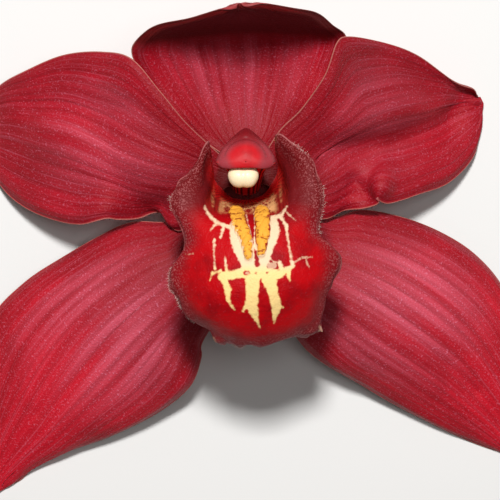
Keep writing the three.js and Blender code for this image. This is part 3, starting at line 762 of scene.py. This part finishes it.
def lip_material(colours):
    """The lip's inner face: velvet red, pale broken markings, golden keels, striped throat."""
    material, tree, shader = new_material("lip_velvet", colours.lip)
    edge, lobe = attribute(tree, "edge"), attribute(tree, "lobe")
    grains = object_noise(tree, 2400, 2, roughness=0.7)
    blotches = fade(tree, object_noise(tree, 190, 3), 0.35, 0.68)
    ragged = calc(tree, "MULTIPLY", calc(tree, "SUBTRACT", object_noise(tree, 1300, 2), 0.5), 0.7)
    colour = blend(tree, calc(tree, "MULTIPLY", blotches, 0.75), colours.lip, colours.lip_shade)
    dusk = fade(tree, edge, 1.4, 6.5, 0.9, 0.0)
    colour = blend(tree, dusk, colour, colours.lip_dusk)
    colour = blend(tree, lobe, colour, colours.lip_dark)
    around = put(tree, "ShaderNodeSeparateXYZ",
                 {0: put(tree, "ShaderNodeTexCoord").outputs["UV"]}).outputs["X"]
    wave = calc(tree, "SINE", calc(tree, "MULTIPLY", around, 230.0))
    stripes = calc(tree, "MULTIPLY", fade(tree, wave, -0.2, 0.8),
                   fade(tree, object_noise(tree, 320, 2), 0.35, 0.6))
    wall = attribute(tree, "wall")
    colour = blend(tree, calc(tree, "MULTIPLY", wall, 0.8), colour, colours.wall)
    colour = blend(tree, calc(tree, "MULTIPLY", calc(tree, "MULTIPLY", stripes, wall), 0.6),
                   colour, colours.throat)
    streak = calc(tree, "MULTIPLY", fade(tree, attribute(tree, "streak"), -0.35, 0.2),
                  fade(tree, object_noise(tree, 700, 3, roughness=0.8), 0.35, 0.6))
    colour = blend(tree, calc(tree, "MULTIPLY", streak, 0.5), colour, colours.tan)
    # The throat in its own red, painted brighter as painted light since it lies in shade under the
    # column, then its dark stripes.
    deep = attribute(tree, "deep")
    colour = blend(tree, deep, colour, colours.hollow)
    colour = blend(tree, calc(tree, "MULTIPLY", calc(tree, "MULTIPLY", stripes, deep), 0.8),
                   colour, colours.throat)
    down = calc(tree, "MULTIPLY", attribute(tree, "down"),
                fade(tree, object_noise(tree, 900, 3, (1, 0.4, 0.4), 0.8), 0.38, 0.6))
    colour = blend(tree, down, colour, colours.tan)
    faint = fade(tree, calc(tree, "ADD", attribute(tree, "faint"), ragged), -0.12, 0.18, 0, 0.55)
    colour = blend(tree, faint, colour, colours.cream)
    pale = fade(tree, calc(tree, "ADD", attribute(tree, "pale"), ragged), -0.18, 0.22)
    tint = blend(tree, attribute(tree, "yellow"), colours.cream, colours.yellow)
    colour = blend(tree, pale, colour, tint)
    torn = calc(tree, "MULTIPLY", ragged, 1.5)
    keel = fade(tree, calc(tree, "ADD", attribute(tree, "keel"), torn), -0.15, 0.1)
    spots = fade(tree, object_noise(tree, 1000, 2, (0.6, 1.2, 1)), 0.56, 0.68, 0, 0.75)
    golden = blend(tree, spots, colours.gold, colours.lip_shade)
    colour = blend(tree, calc(tree, "MULTIPLY", keel, calc(tree, "SUBTRACT", 1.0, deep)),
                   colour, golden)
    # The pale frost of short hairs along the margin, partly painted sheen where the hairs catch the
    # light at a grazing angle.
    rim = calc(tree, "MULTIPLY", fade(tree, edge, 0.12, 0.4, 0.8, 0.0), blotches)
    colour = blend(tree, rim, colour, colours.frost)
    fuzz = object_noise(tree, 3100, 1)
    frost = calc(tree, "MULTIPLY", fade(tree, edge, 1.2, 5.5, 1.0, 0.0),
                 fade(tree, fuzz, 0.52, 0.62))
    colour = blend(tree, calc(tree, "MULTIPLY", frost, 0.45), colour, colours.frost)
    # Painted glints: fine pale specks for the sparkle of the velvet.
    painted_glints = fade(tree, grains, 0.62, 0.76, 0, 0.12)
    colour = blend(tree, painted_glints, colour, colours.painted_glint)
    tree.links.new(colour, shader.inputs["Base Color"])
    relief = bump(tree, grains, 0.5, 0.00025)
    relief = bump(tree, object_noise(tree, 620, 3), 0.35, 0.0006, relief)
    tree.links.new(relief, shader.inputs["Normal"])
    shader.inputs["Roughness"].default_value = 0.5
    shader.inputs["Specular IOR Level"].default_value = 0.1
    return material


def lip_back_material(colours):
    """The lip's outer face: dull dark red under a frost of short hairs."""
    material, tree, shader = new_material("lip_back", colours.lip_dark)
    grains = object_noise(tree, 2000, 2, roughness=0.7)
    patches = fade(tree, object_noise(tree, 140, 3), 0.35, 0.7)
    colour = blend(tree, patches, colours.lip_dark, colours.lip_dusk)
    frost = calc(tree, "MULTIPLY", fade(tree, attribute(tree, "edge"), 0.2, 4.0, 1.0, 0.45),
                 fade(tree, grains, 0.5, 0.72))
    colour = blend(tree, calc(tree, "MULTIPLY", frost, 0.6), colour, colours.frost)
    tree.links.new(colour, shader.inputs["Base Color"])
    tree.links.new(bump(tree, grains, 0.5, 0.00025), shader.inputs["Normal"])
    shader.inputs["Roughness"].default_value = 0.6
    shader.inputs["Specular IOR Level"].default_value = 0.2
    return material


# ---- Column, anther cap and pollinarium ------------------------------------------------

# Cross-sections of the column from foot to hood, in mm: centre y, z, half width, height
# above and below the centre, and how far the underside is hollowed, as a share.
COLUMN_SECTIONS = [
    (0.2, -0.6, 3.4, 3.2, 3.2, 0), (0.6, 2, 3.2, 3.3, 3.1, 0), (2.2, 7, 3.7, 3.7, 3, 0.2),
    (3.2, 12, 4.2, 4.3, 2.9, 0.5), (3.5, 16, 4.8, 5.6, 2.7, 0.85),
    (3.4, 19.2, 5.6, 6.4, 2.3, 1.0), (3.1, 21.8, 5.8, 5.9, 2.0, 0.98),
    (2.8, 23.4, 5.5, 4.7, 1.8, 0.9), (2.6, 24.3, 4.8, 3.4, 1.4, 0.5),
    (2.8, 24.9, 2.9, 1.9, 1.2, 0.2), (3, 25.13, 1.1, 0.7, 0.5, 0), (3, 25.16, 0.1, 0.1, 0.1, 0),
]
COLUMN_CREST = 0.55         # how much the column narrows towards its crest
HEAD_MIDDLE = 3.9           # mm above the heart, the middle of the head from the front
COLUMN_ROWS, COLUMN_SIDES = 140, 112


def column_surface():
    t = np.linspace(0, 1, COLUMN_ROWS + 1)
    section = spline(COLUMN_SECTIONS, t)
    y, z, half, above, below, hollow = (section[:, i, None] for i in range(6))
    angle = np.linspace(0, 2 * math.pi, COLUMN_SIDES + 1)[None, :]
    c, s = np.cos(angle), np.sin(angle)
    over = s > 0
    squared = np.sign(c) * np.abs(c) ** 0.72
    across = np.where(over, c * (1 - COLUMN_CREST * np.abs(s) ** 1.5), squared)
    cupped = 1 - hollow * np.exp(-(across / 0.66) ** 4)
    rise = np.where(over, above * s, below * s * cupped)
    grid = np.stack([half * across, y + rise, z + 0 * rise], axis=2)
    ends = [np.repeat(grid[i:i + 1].mean(axis=1, keepdims=True), COLUMN_SIDES + 1, axis=1)
            for i in (0, -1)]
    return np.concatenate([ends[0], grid, ends[1]])


def column_material(colours):
    """Waxy red with painted sheen and shade on the head, striped underneath on painted light."""
    material, tree, shader = new_material("column_wax", colours.column)
    brow, under = attribute(tree, "brow"), attribute(tree, "under")
    mottle = object_noise(tree, 420, 3)
    # Painted sheen: a pinker band round the brow, where the head curves away from the light.
    wavy = calc(tree, "ADD", brow, calc(tree, "MULTIPLY", mottle, 0.16))
    colour = blend(tree, fade(tree, wavy, 0.5, 0.84), colours.column, colours.column_painted_sheen)
    # Painted shade on the crown, where the back of the head turns away from the light.
    colour = blend(tree, calc(tree, "MULTIPLY", attribute(tree, "painted_crown_shade"), 0.85), colour,
                   colours.deep)
    colour = blend(tree, calc(tree, "MULTIPLY", fade(tree, mottle, 0.4, 0.7), 0.25), colour,
                   colours.deep)
    around = put(tree, "ShaderNodeSeparateXYZ",
                 {0: put(tree, "ShaderNodeTexCoord").outputs["UV"]}).outputs["X"]
    stripes = fade(tree, calc(tree, "SINE", calc(tree, "MULTIPLY", around, 150.0)), -0.1, 0.7)
    # The underside's own stripes, on a red brightened as painted light where it lies in shade.
    shade = blend(tree, stripes, colours.hollow, colours.throat)
    colour = blend(tree, under, colour, shade)
    tree.links.new(colour, shader.inputs["Base Color"])
    grains = object_noise(tree, 1800, 2)
    tree.links.new(bump(tree, grains, 0.2, 0.00012), shader.inputs["Normal"])
    shader.inputs["Roughness"].default_value = 0.48
    shader.inputs["Specular IOR Level"].default_value = 0.18
    shader.inputs["Subsurface Weight"].default_value = 0.08
    shader.inputs["Subsurface Radius"].default_value = (0.002, 0.0004, 0.0004)
    shader.inputs["Subsurface Scale"].default_value = 1.0
    return material


def add_column(colours):
    grid = column_surface()
    normal = normals_of(grid)
    centre = grid.mean(axis=1, keepdims=True)
    if np.sum(normal * (grid - centre)) < 0:
        normal = -normal
    normal[-3:] = (0, 0, 1)
    under = smooth(-normal[..., 1], 0.1, 0.6) * (1 - smooth(grid[..., 2], 23.2, 24.2))
    inner = (grid[..., 1] - centre[..., 1] < 0.6) & (np.abs(grid[..., 0]) < 4.4)
    under = under * np.where(inner, 1.0, 0.4)
    lower = (1 - smooth(grid[..., 1], 2.5, 3.5)) * (1 - smooth(grid[..., 2], 23.2, 24.2))
    under = np.maximum(under, 0.95 * lower)
    brow = np.hypot((grid[..., 0] + 0.1) / 5.2, (grid[..., 1] - HEAD_MIDDLE) / 4.6)
    # Painted shade over the crown of the head.
    painted_crown_shade = smooth(grid[..., 1], 5.6, 8.4)
    groove = np.exp(-((brow - 0.82) / 0.07) ** 2) * smooth(grid[..., 2], 17, 20)
    grid = grid - normal * (0.28 * groove * (grid[..., 1] > HEAD_MIDDLE))[..., None]
    piece = place_grid("column_skin", grid, {"brow": brow, "under": under, "painted_crown_shade": painted_crown_shade})
    merge_and_face_out(piece)
    piece.data.materials.append(column_material(colours))
    return finish_piece(piece, "column", "column")


CAP_CENTRE = (-0.5, 0.1, 22.6)
CAP_HALF = (2.95, 2.1, 1.7)
POLLINARIUM_CENTRE = (-0.5, 1.1, 20.1)
POLLINARIUM_HALF = (1.5, 1.0, 0.5)


def new_ball(name, half, centre, waist, waist_width, square, taper=0.0):
    """A ball with a groove around its middle. The waist is the groove's depth and the taper
    widens the ball towards +Y."""
    start_clean()
    bpy.ops.mesh.primitive_uv_sphere_add(segments=72, ring_count=48, radius=1)
    piece = bpy.context.object
    piece.name = piece.data.name = name
    co = np.zeros(len(piece.data.vertices) * 3)
    piece.data.vertices.foreach_get("co", co)
    x, y, z = co.reshape(-1, 3).T
    bulge = np.sign(x) * np.abs(x) ** square
    grooved = 1 - waist * np.exp(-(x / waist_width) ** 2)
    fuller = 1 + 0.1 * smooth(np.abs(x), 0.2, 0.8)
    shape = np.stack([bulge * half[0] * (1 + taper * y), y * half[1] * grooved * fuller,
                      z * half[2] * grooved * fuller], axis=1)
    place = (shape + np.array(centre)) * MM + np.array(HEART)
    piece.data.vertices.foreach_set("co", place.astype(np.float32).ravel())
    piece.data.update()
    return piece


def wax_material(name, colour, shade, roughness):
    material, tree, shader = new_material(name, colour)
    mottle = fade(tree, object_noise(tree, 900, 3), 0.4, 0.7)
    tone = blend(tree, calc(tree, "MULTIPLY", mottle, 0.35), colour, shade)
    tree.links.new(tone, shader.inputs["Base Color"])
    tree.links.new(bump(tree, mottle, 0.15, 0.0001), shader.inputs["Normal"])
    shader.inputs["Roughness"].default_value = roughness
    shader.inputs["Subsurface Weight"].default_value = 0.1
    shader.inputs["Subsurface Radius"].default_value = (0.001, 0.0007, 0.0004)
    shader.inputs["Subsurface Scale"].default_value = 1.0
    return material


# ---- Ovary and stalk -------------------------------------------------------------------

STALK_PATH = [(0, 0, -0.9), (0, 0, -3.8), (0, -2.2, -9), (0, -7.5, -13.2), (0, -13.9, -14.5),
              (0, -21.5, -14.9), (0, -29, -15.1)]
OVARY_RADIUS, STALK_RADIUS = 2.9, 2.3
STALK_ROWS, STALK_SIDES = 150, 72
CUT_SLANT = 0.45
CUT_RINGS = (0.985, 0.95, 0.8, 0.6, 0.4, 0.2, 0)


def stalk_surface():
    fine = spline(STALK_PATH, np.linspace(0, 1, 600))
    length = np.concatenate([[0], np.cumsum(np.linalg.norm(np.diff(fine, axis=0), axis=1))])
    share = np.linspace(0, 1, STALK_ROWS + 1)
    centre = np.stack([np.interp(share * length[-1], length, fine[:, i]) for i in range(3)], 1)
    forward = np.gradient(centre, axis=0)
    forward /= np.linalg.norm(forward, axis=1, keepdims=True)
    up = np.cross(forward, (1, 0, 0))
    neck = np.exp(-(share / 0.06) ** 2)[:, None]
    slim = smooth(share, 0.45, 0.95)[:, None]
    angle = np.linspace(0, 2 * math.pi, STALK_SIDES + 1)[None, :]
    body = OVARY_RADIUS + (STALK_RADIUS - OVARY_RADIUS) * slim
    radius = body + (STALK_TOP_RADIUS - body) * neck
    ribbing = 0.07 * (1 - slim) * (1 - neck)
    radius = radius * (1 - ribbing + ribbing * np.cos(6 * angle))
    sideways, upwards = radius * np.cos(angle), radius * np.sin(angle)
    sideways = sideways[..., None] * np.array([1.0, 0, 0])
    grid = centre[:, None] + sideways + upwards[..., None] * up[:, None]
    slanting = smooth(share, 0.9, 1)[:, None] * CUT_SLANT * upwards
    grid = grid + slanting[..., None] * forward[:, None]
    top = np.repeat(centre[:1, None], STALK_SIDES + 1, axis=1)
    ends = [centre[-1] + (grid[-1:] - centre[-1]) * ring for ring in CUT_RINGS]
    inside = np.array([0.0] * (STALK_ROWS + 2) + [1 - 0.9 * ring for ring in CUT_RINGS])
    inside = np.repeat(inside[:, None], STALK_SIDES + 1, axis=1)
    flush = np.concatenate([share[:1], share, np.ones(len(CUT_RINGS))])
    flush = np.repeat(flush[:, None], STALK_SIDES + 1, axis=1)
    return np.concatenate([top, grid, *ends]), inside, flush


def stalk_material(colours):
    """Green flushed with red towards the flower, with a pale juicy cut."""
    material, tree, shader = new_material("stalk_skin", colours.stalk)
    share, inside = attribute(tree, "flush"), attribute(tree, "inside")
    streaks = fade(tree, uv_noise(tree, 1.0, (46, 3, 1), 3), 0.3, 0.7)
    flush = blend(tree, fade(tree, share, 0.15, 0.95), colours.stalk_flush, colours.stalk)
    colour = blend(tree, calc(tree, "MULTIPLY", streaks, 0.4), flush, colours.stalk_dark)
    core = blend(tree, fade(tree, inside, 0.2, 0.5), colours.stalk, colours.pith)
    ring = calc(tree, "MULTIPLY", fade(tree, inside, 0.3, 0.42), fade(tree, inside, 0.6, 0.48))
    core = blend(tree, calc(tree, "MULTIPLY", ring, 0.5), core, colours.stalk)
    colour = blend(tree, fade(tree, inside, 0.02, 0.1), colour, core)
    tree.links.new(colour, shader.inputs["Base Color"])
    tree.links.new(bump(tree, object_noise(tree, 900, 3), 0.25, 0.0002), shader.inputs["Normal"])
    shader.inputs["Roughness"].default_value = 0.42
    return material


def add_stalk(colours):
    grid, inside, flush = stalk_surface()
    piece = place_grid("stalk_skin", grid, {"inside": inside, "flush": flush})
    merge_and_face_out(piece)
    piece.data.materials.append(stalk_material(colours))
    return finish_piece(piece, "stalk", "pedicel")


# ---- Properties ------------------------------------------------------------------------


def colour_property(name, description, default):
    return FloatVectorProperty(name=name, description=description, default=default,
                               subtype="COLOR", size=3, min=0, max=1)


class OrchidSizes(bpy.types.PropertyGroup):
    """Thicknesses and reliefs in millimetres."""

    petal: FloatProperty(name="Petal thickness", default=1.0, min=0.3, max=2,
                         description="Thickness of both petals away from the margin, mm")
    sepal: FloatProperty(name="Sepal thickness", default=1.2, min=0.3, max=2,
                         description="Thickness of the sepals away from the margin, mm")
    lip: FloatProperty(name="Lip thickness", default=1.1, min=0.3, max=2,
                       description="Thickness of the lip away from the margin, mm")
    flutter: FloatProperty(name="Margin flutter", default=0.22, min=0, max=1,
                           description="Height of the small waves along the margins, mm")
    dimples: FloatProperty(name="Dimples", default=0.12, min=0, max=1,
                           description="Height of the slight unevenness of the blades, mm")
    vein_depth: FloatProperty(name="Vein depth", default=0.07, min=0, max=0.5,
                              description="Depth of the grooves along the veins, mm")
    fold: FloatProperty(name="Lip folds", default=0.4, min=0, max=1,
                        description="Height of the folds beside the throat, mm")
    lip_flutter: FloatProperty(name="Lip flutter", default=0.3, min=0, max=1,
                               description="Height of the crinkles along the lip's margin, mm")
    lip_ragged: FloatProperty(name="Ragged margin", default=0.22, min=0, max=1,
                              description="How far the lip's margin strays in and out, mm")
    hairs: IntProperty(name="Hairs", default=600, min=1, max=2000,
                       description="Number of hairs at the lip's margins, and in its throat")
    hair_length: FloatProperty(name="Hair length", default=0.9, min=0.05, max=2,
                               description="Length of the longest hairs, mm")
    margin_roll: FloatProperty(name="Margin roll", default=0.35, min=0, max=1,
                               description="How far the margins roll back, mm")


class OrchidColours(bpy.types.PropertyGroup):
    """Colours of the tissues."""

    tepal: colour_property("Tepal red", "Upper side of sepals and petals", (0.46, 0.005, 0.018))
    # Deep red is also the colour of the painted shade on the blades and on the column's crown.
    deep: colour_property("Deep red", "Darker patches and streaks", (0.19, 0.002, 0.005))
    # Painted light: the brighter red of the lateral sepals' outer halves.
    bright: colour_property("Bright red", "Outer halves of the lateral sepals",
                            (0.62, 0.007, 0.022))
    # Painted shade: the deepest red stands in for the shade inside the hood and round the claws.
    hood: colour_property("Hood", "Deepest red, in the hood and round the claws",
                          (0.1, 0.0008, 0.001))
    # Painted sheen: the pink of the satin bands where the light glances off the blades.
    painted_sheen: colour_property("Bloom", "Satin bands along the blades", (0.85, 0.13, 0.2))
    vein: colour_property("Vein", "Lengthwise veins", (0.2, 0.002, 0.005))
    # Painted glints: the pale pink of the sparkle off the papillae.
    painted_glint: colour_property("Papillae", "Fine pale sparkle of the surface", (0.85, 0.24, 0.36))
    margin: colour_property("Margin", "Thin pale rim of the tepals", (0.6, 0.24, 0.19))
    back: colour_property("Back", "Back of sepals and petals", (0.33, 0.05, 0.05))
    lip: colour_property("Lip red", "Velvet of the mid-lobe", (0.49, 0.001, 0.004))
    lip_shade: colour_property("Lip shade", "Darker blotches of the lip", (0.22, 0.002, 0.005))
    lip_dusk: colour_property("Lip dusk", "Dull zone towards the margin", (0.2, 0.006, 0.01))
    lip_dark: colour_property("Lip dark", "Side lobes and throat", (0.15, 0.007, 0.009))
    wall: colour_property("Wall", "Inner walls of the side lobes", (0.3, 0.014, 0.01))
    # Painted light: a bright red that stands in for the light reaching the column's underside and
    # the lip's throat, which lie in shade.
    hollow: colour_property("Hollow", "Underside of the column", (0.8, 0.014, 0.016))
    throat: colour_property("Throat", "Dark stripes in the throat", (0.12, 0.002, 0.003))
    frost: colour_property("Frost", "Short pale hairs at the margin", (0.46, 0.14, 0.14))
    hair: colour_property("Hair", "Hairs along the lip's margin", (0.85, 0.62, 0.55))
    cream: colour_property("Cream", "Markings of the lip", (0.86, 0.62, 0.4))
    yellow: colour_property("Yellow", "Lower markings of the lip", (0.97, 0.68, 0.27))
    gold: colour_property("Gold", "Keels of the lip", (0.88, 0.4, 0.045))
    tan: colour_property("Tan", "Downy band in the throat", (0.8, 0.42, 0.17))
    column: colour_property("Column", "Waxy red of the column", (0.55, 0.008, 0.014))
    # Painted sheen on the column's head, where it curves away.
    column_painted_sheen: colour_property("Column pink", "Band where its head curves away",
                                 (0.34, 0.04, 0.052))
    cap: colour_property("Cap", "Cream of the anther cap", (1.0, 0.77, 0.5))
    cap_shade: colour_property("Cap shade", "Duller patches of the cap", (0.95, 0.68, 0.4))
    pollen: colour_property("Pollen", "Wax of the pollen masses", (0.85, 0.45, 0.06))
    stalk: colour_property("Stalk", "Green of the stalk", (0.2, 0.24, 0.06))
    stalk_dark: colour_property("Stalk dark", "Darker streaks of the stalk", (0.1, 0.09, 0.03))
    stalk_flush: colour_property("Stalk flush", "Red flush of the ovary", (0.2, 0.03, 0.025))
    pith: colour_property("Pith", "Pale inside of the cut", (0.6, 0.62, 0.4))
    floor: colour_property("Floor", "Plain pale floor", (0.8, 0.79, 0.77))


class OrchidStage(bpy.types.PropertyGroup):
    """Camera and lights."""

    distance: FloatProperty(name="Camera distance", default=0.45, min=0.1, unit="LENGTH",
                            description="Camera to the plane that the framing is set in")
    field: FloatProperty(name="Field", default=0.1, min=0.01, unit="LENGTH",
                         description="Width of what the camera sees in that plane")
    key: FloatProperty(name="Key light", default=5.5, min=0, unit="POWER",
                       description="Power of the main light")
    key_angle: FloatProperty(name="Key angle", default=math.radians(24), subtype="ANGLE",
                             description="How far the main light stands off the camera's axis")
    fill: FloatProperty(name="Fill light", default=1.1, min=0, unit="POWER",
                        description="Power of the soft light beside the camera")
    sky: FloatProperty(name="Surroundings", default=0.08, min=0,
                       description="Brightness of the surroundings")


# ---- Operators -------------------------------------------------------------------------


CENTRE_X, CENTRE_Y = 0.8, -14.0     # mm from the heart to the middle of the view
REFERENCE_Z = 8.0                   # mm above the heart, where the view's width is set


class ORCHID_OT_stage(bpy.types.Operator):
    """Adds the floor, the lights and the camera"""

    bl_idname = "orchid.stage"
    bl_label = "Stage"

    def execute(self, context):
        stage, colours = context.scene.orchid_stage, context.scene.orchid_colours
        start_clean()
        bpy.ops.mesh.primitive_plane_add(size=4, location=(0, 0, 0))
        floor = context.object
        floor.name = "floor"
        material, tree, shader = new_material("floor_paper", colours.floor)
        tone = object_noise(tree, 3, 2)
        shade = blend(tree, calc(tree, "MULTIPLY", tone, 0.06), colours.floor, (0.6, 0.6, 0.6))
        tree.links.new(shade, shader.inputs["Base Color"])
        shader.inputs["Roughness"].default_value = 0.9
        floor.data.materials.append(material)
        look_at = HEART + Vector((CENTRE_X, CENTRE_Y, REFERENCE_Z)) * MM
        bpy.ops.object.camera_add(location=look_at + Vector((0, 0, stage.distance)))
        camera = context.object
        camera.rotation_euler = (0, 0, 0)
        camera.data.sensor_width = 36
        camera.data.lens = 36 * stage.distance / stage.field
        camera.data.clip_start, camera.data.clip_end = 0.01, 20
        context.scene.camera = camera
        self.light("key_light", look_at, stage.key_angle, -0.06, 0.7, 0.1, stage.key)
        self.light("fill_light", look_at, 0.16, 1.2, 0.9, 0.3, stage.fill)
        world = bpy.data.worlds.new("studio")
        world.use_nodes = True
        background = world.node_tree.nodes["Background"]
        background.inputs["Color"].default_value = (1, 0.985, 0.97, 1)
        background.inputs["Strength"].default_value = stage.sky
        context.scene.world = world
        context.scene.view_settings.view_transform = "Standard"
        return {"FINISHED"}

    def light(self, name, target, tilt, turn_angle, distance, size, power):
        """An area light tilted off the vertical towards +Y and turned about the vertical."""
        away = Vector((math.sin(turn_angle) * math.sin(tilt),
                       math.cos(turn_angle) * math.sin(tilt), math.cos(tilt)))
        bpy.ops.object.light_add(type="AREA", location=target + away * distance)
        lamp = bpy.context.object
        lamp.name = name
        lamp.data.energy = power
        lamp.data.size = size
        lamp.rotation_euler = (-away).to_track_quat("-Z", "Y").to_euler()


class ORCHID_OT_sepals(bpy.types.Operator):
    """Adds the dorsal sepal and both lateral sepals"""

    bl_idname = "orchid.sepals"
    bl_label = "Sepals"

    def execute(self, context):
        sizes, colours = context.scene.orchid_sizes, context.scene.orchid_colours
        front = tepal_material("sepal_velvet", colours, colours.deep, colours.margin)
        back = back_material("sepal_back", colours)
        for shape in (DORSAL_SEPAL, LEFT_SEPAL, RIGHT_SEPAL):
            add_tepal(shape, sizes.sepal, sizes, front, back, "sepal")
        return {"FINISHED"}


class ORCHID_OT_petals(bpy.types.Operator):
    """Adds the left and the right petal"""

    bl_idname = "orchid.petals"
    bl_label = "Petals"

    def execute(self, context):
        sizes, colours = context.scene.orchid_sizes, context.scene.orchid_colours
        front = tepal_material("petal_velvet", colours, colours.deep, colours.margin)
        back = back_material("petal_back", colours)
        for shape in (LEFT_PETAL, RIGHT_PETAL):
            add_tepal(shape, sizes.petal, sizes, front, back, "petal")
        return {"FINISHED"}


class ORCHID_OT_lip(bpy.types.Operator):
    """Adds the lip with its keels, markings and margin hairs"""

    bl_idname = "orchid.lip"
    bl_label = "Lip"

    def execute(self, context):
        sizes, colours = context.scene.orchid_sizes, context.scene.orchid_colours
        add_lip(sizes, colours, lip_material(colours), lip_back_material(colours))
        return {"FINISHED"}


class ORCHID_OT_column(bpy.types.Operator):
    """Adds the column, the anther cap and the pollinarium under it"""

    bl_idname = "orchid.column"
    bl_label = "Column"

    def execute(self, context):
        colours = context.scene.orchid_colours
        add_column(colours)
        cap = new_ball("anther_cap_skin", CAP_HALF, CAP_CENTRE, 0.08, 0.12, 0.8, 0.12)
        cap.data.materials.append(wax_material("cap_wax", colours.cap, colours.cap_shade, 0.4))
        finish_piece(cap, "anther_cap", "anther_cap")
        pollen = new_ball("pollinarium_masses", POLLINARIUM_HALF, POLLINARIUM_CENTRE, 0.4, 0.25, 1)
        pollen.data.materials.append(wax_material("pollen_wax", colours.pollen, colours.gold, 0.35))
        finish_piece(pollen, "pollinarium", "pollinarium")
        return {"FINISHED"}


class ORCHID_OT_stalk(bpy.types.Operator):
    """Adds the ovary and its stalk with the cut end"""

    bl_idname = "orchid.stalk"
    bl_label = "Stalk"

    def execute(self, context):
        add_stalk(context.scene.orchid_colours)
        return {"FINISHED"}


class ORCHID_PT_panel(bpy.types.Panel):
    """The orchid's pieces and settings"""

    bl_label = "Orchid"
    bl_idname = "ORCHID_PT_panel"
    bl_space_type = "VIEW_3D"
    bl_region_type = "UI"
    bl_category = "Orchid"

    def draw(self, context):
        for operator in STEPS:
            self.layout.operator(operator.bl_idname)
        for group in ("orchid_sizes", "orchid_colours", "orchid_stage"):
            settings = getattr(context.scene, group)
            box = self.layout.box()
            for name in settings.bl_rna.properties.keys():
                if name not in {"rna_type", "name"}:
                    box.prop(settings, name)


STEPS = (ORCHID_OT_stage, ORCHID_OT_sepals, ORCHID_OT_petals, ORCHID_OT_lip,
         ORCHID_OT_column, ORCHID_OT_stalk)
CLASSES = (OrchidSizes, OrchidColours, OrchidStage, *STEPS, ORCHID_PT_panel)


def register():
    for item in CLASSES:
        bpy.utils.register_class(item)
    bpy.types.Scene.orchid_sizes = PointerProperty(type=OrchidSizes)
    bpy.types.Scene.orchid_colours = PointerProperty(type=OrchidColours)
    bpy.types.Scene.orchid_stage = PointerProperty(type=OrchidStage)


def unregister():
    for group in ("orchid_sizes", "orchid_colours", "orchid_stage"):
        delattr(bpy.types.Scene, group)
    for item in reversed(CLASSES):
        bpy.utils.unregister_class(item)


def main():
    """Builds the pieces and the stage in turn."""
    """Takes the classes and their settings away."""
    """Adds the classes and their settings."""
    """A colour for the panel."""
    """Makes the ovary with its stalk."""
    """The ovary's and stalk's skin, and its marks."""
    """A waxy tissue, mottled between two colours."""
    """Makes the column."""
    """The column's skin from its foot to its hood."""
    """The lip's hairs."""
    """Makes the lip with its keels, markings and hairs."""
    """Makes one sepal or petal."""
    """Turns a grid about the vertical."""
    """The rows, the columns and the surface that is spanned between the three rails."""
    """Height in mm of a blade's hollows and swellings at x, y."""
    """Small relief from a height, laid over the relief below if there is one."""
    """One step of arithmetic in a material."""
    """The value of a named mark on the mesh."""
    """Joins points that lie together and turns the faces outwards."""
    register()
    for step in STEPS:
        family, name = step.bl_idname.split(".")
        getattr(getattr(bpy.ops, family), name)()


if __name__ == "__main__":
    main()
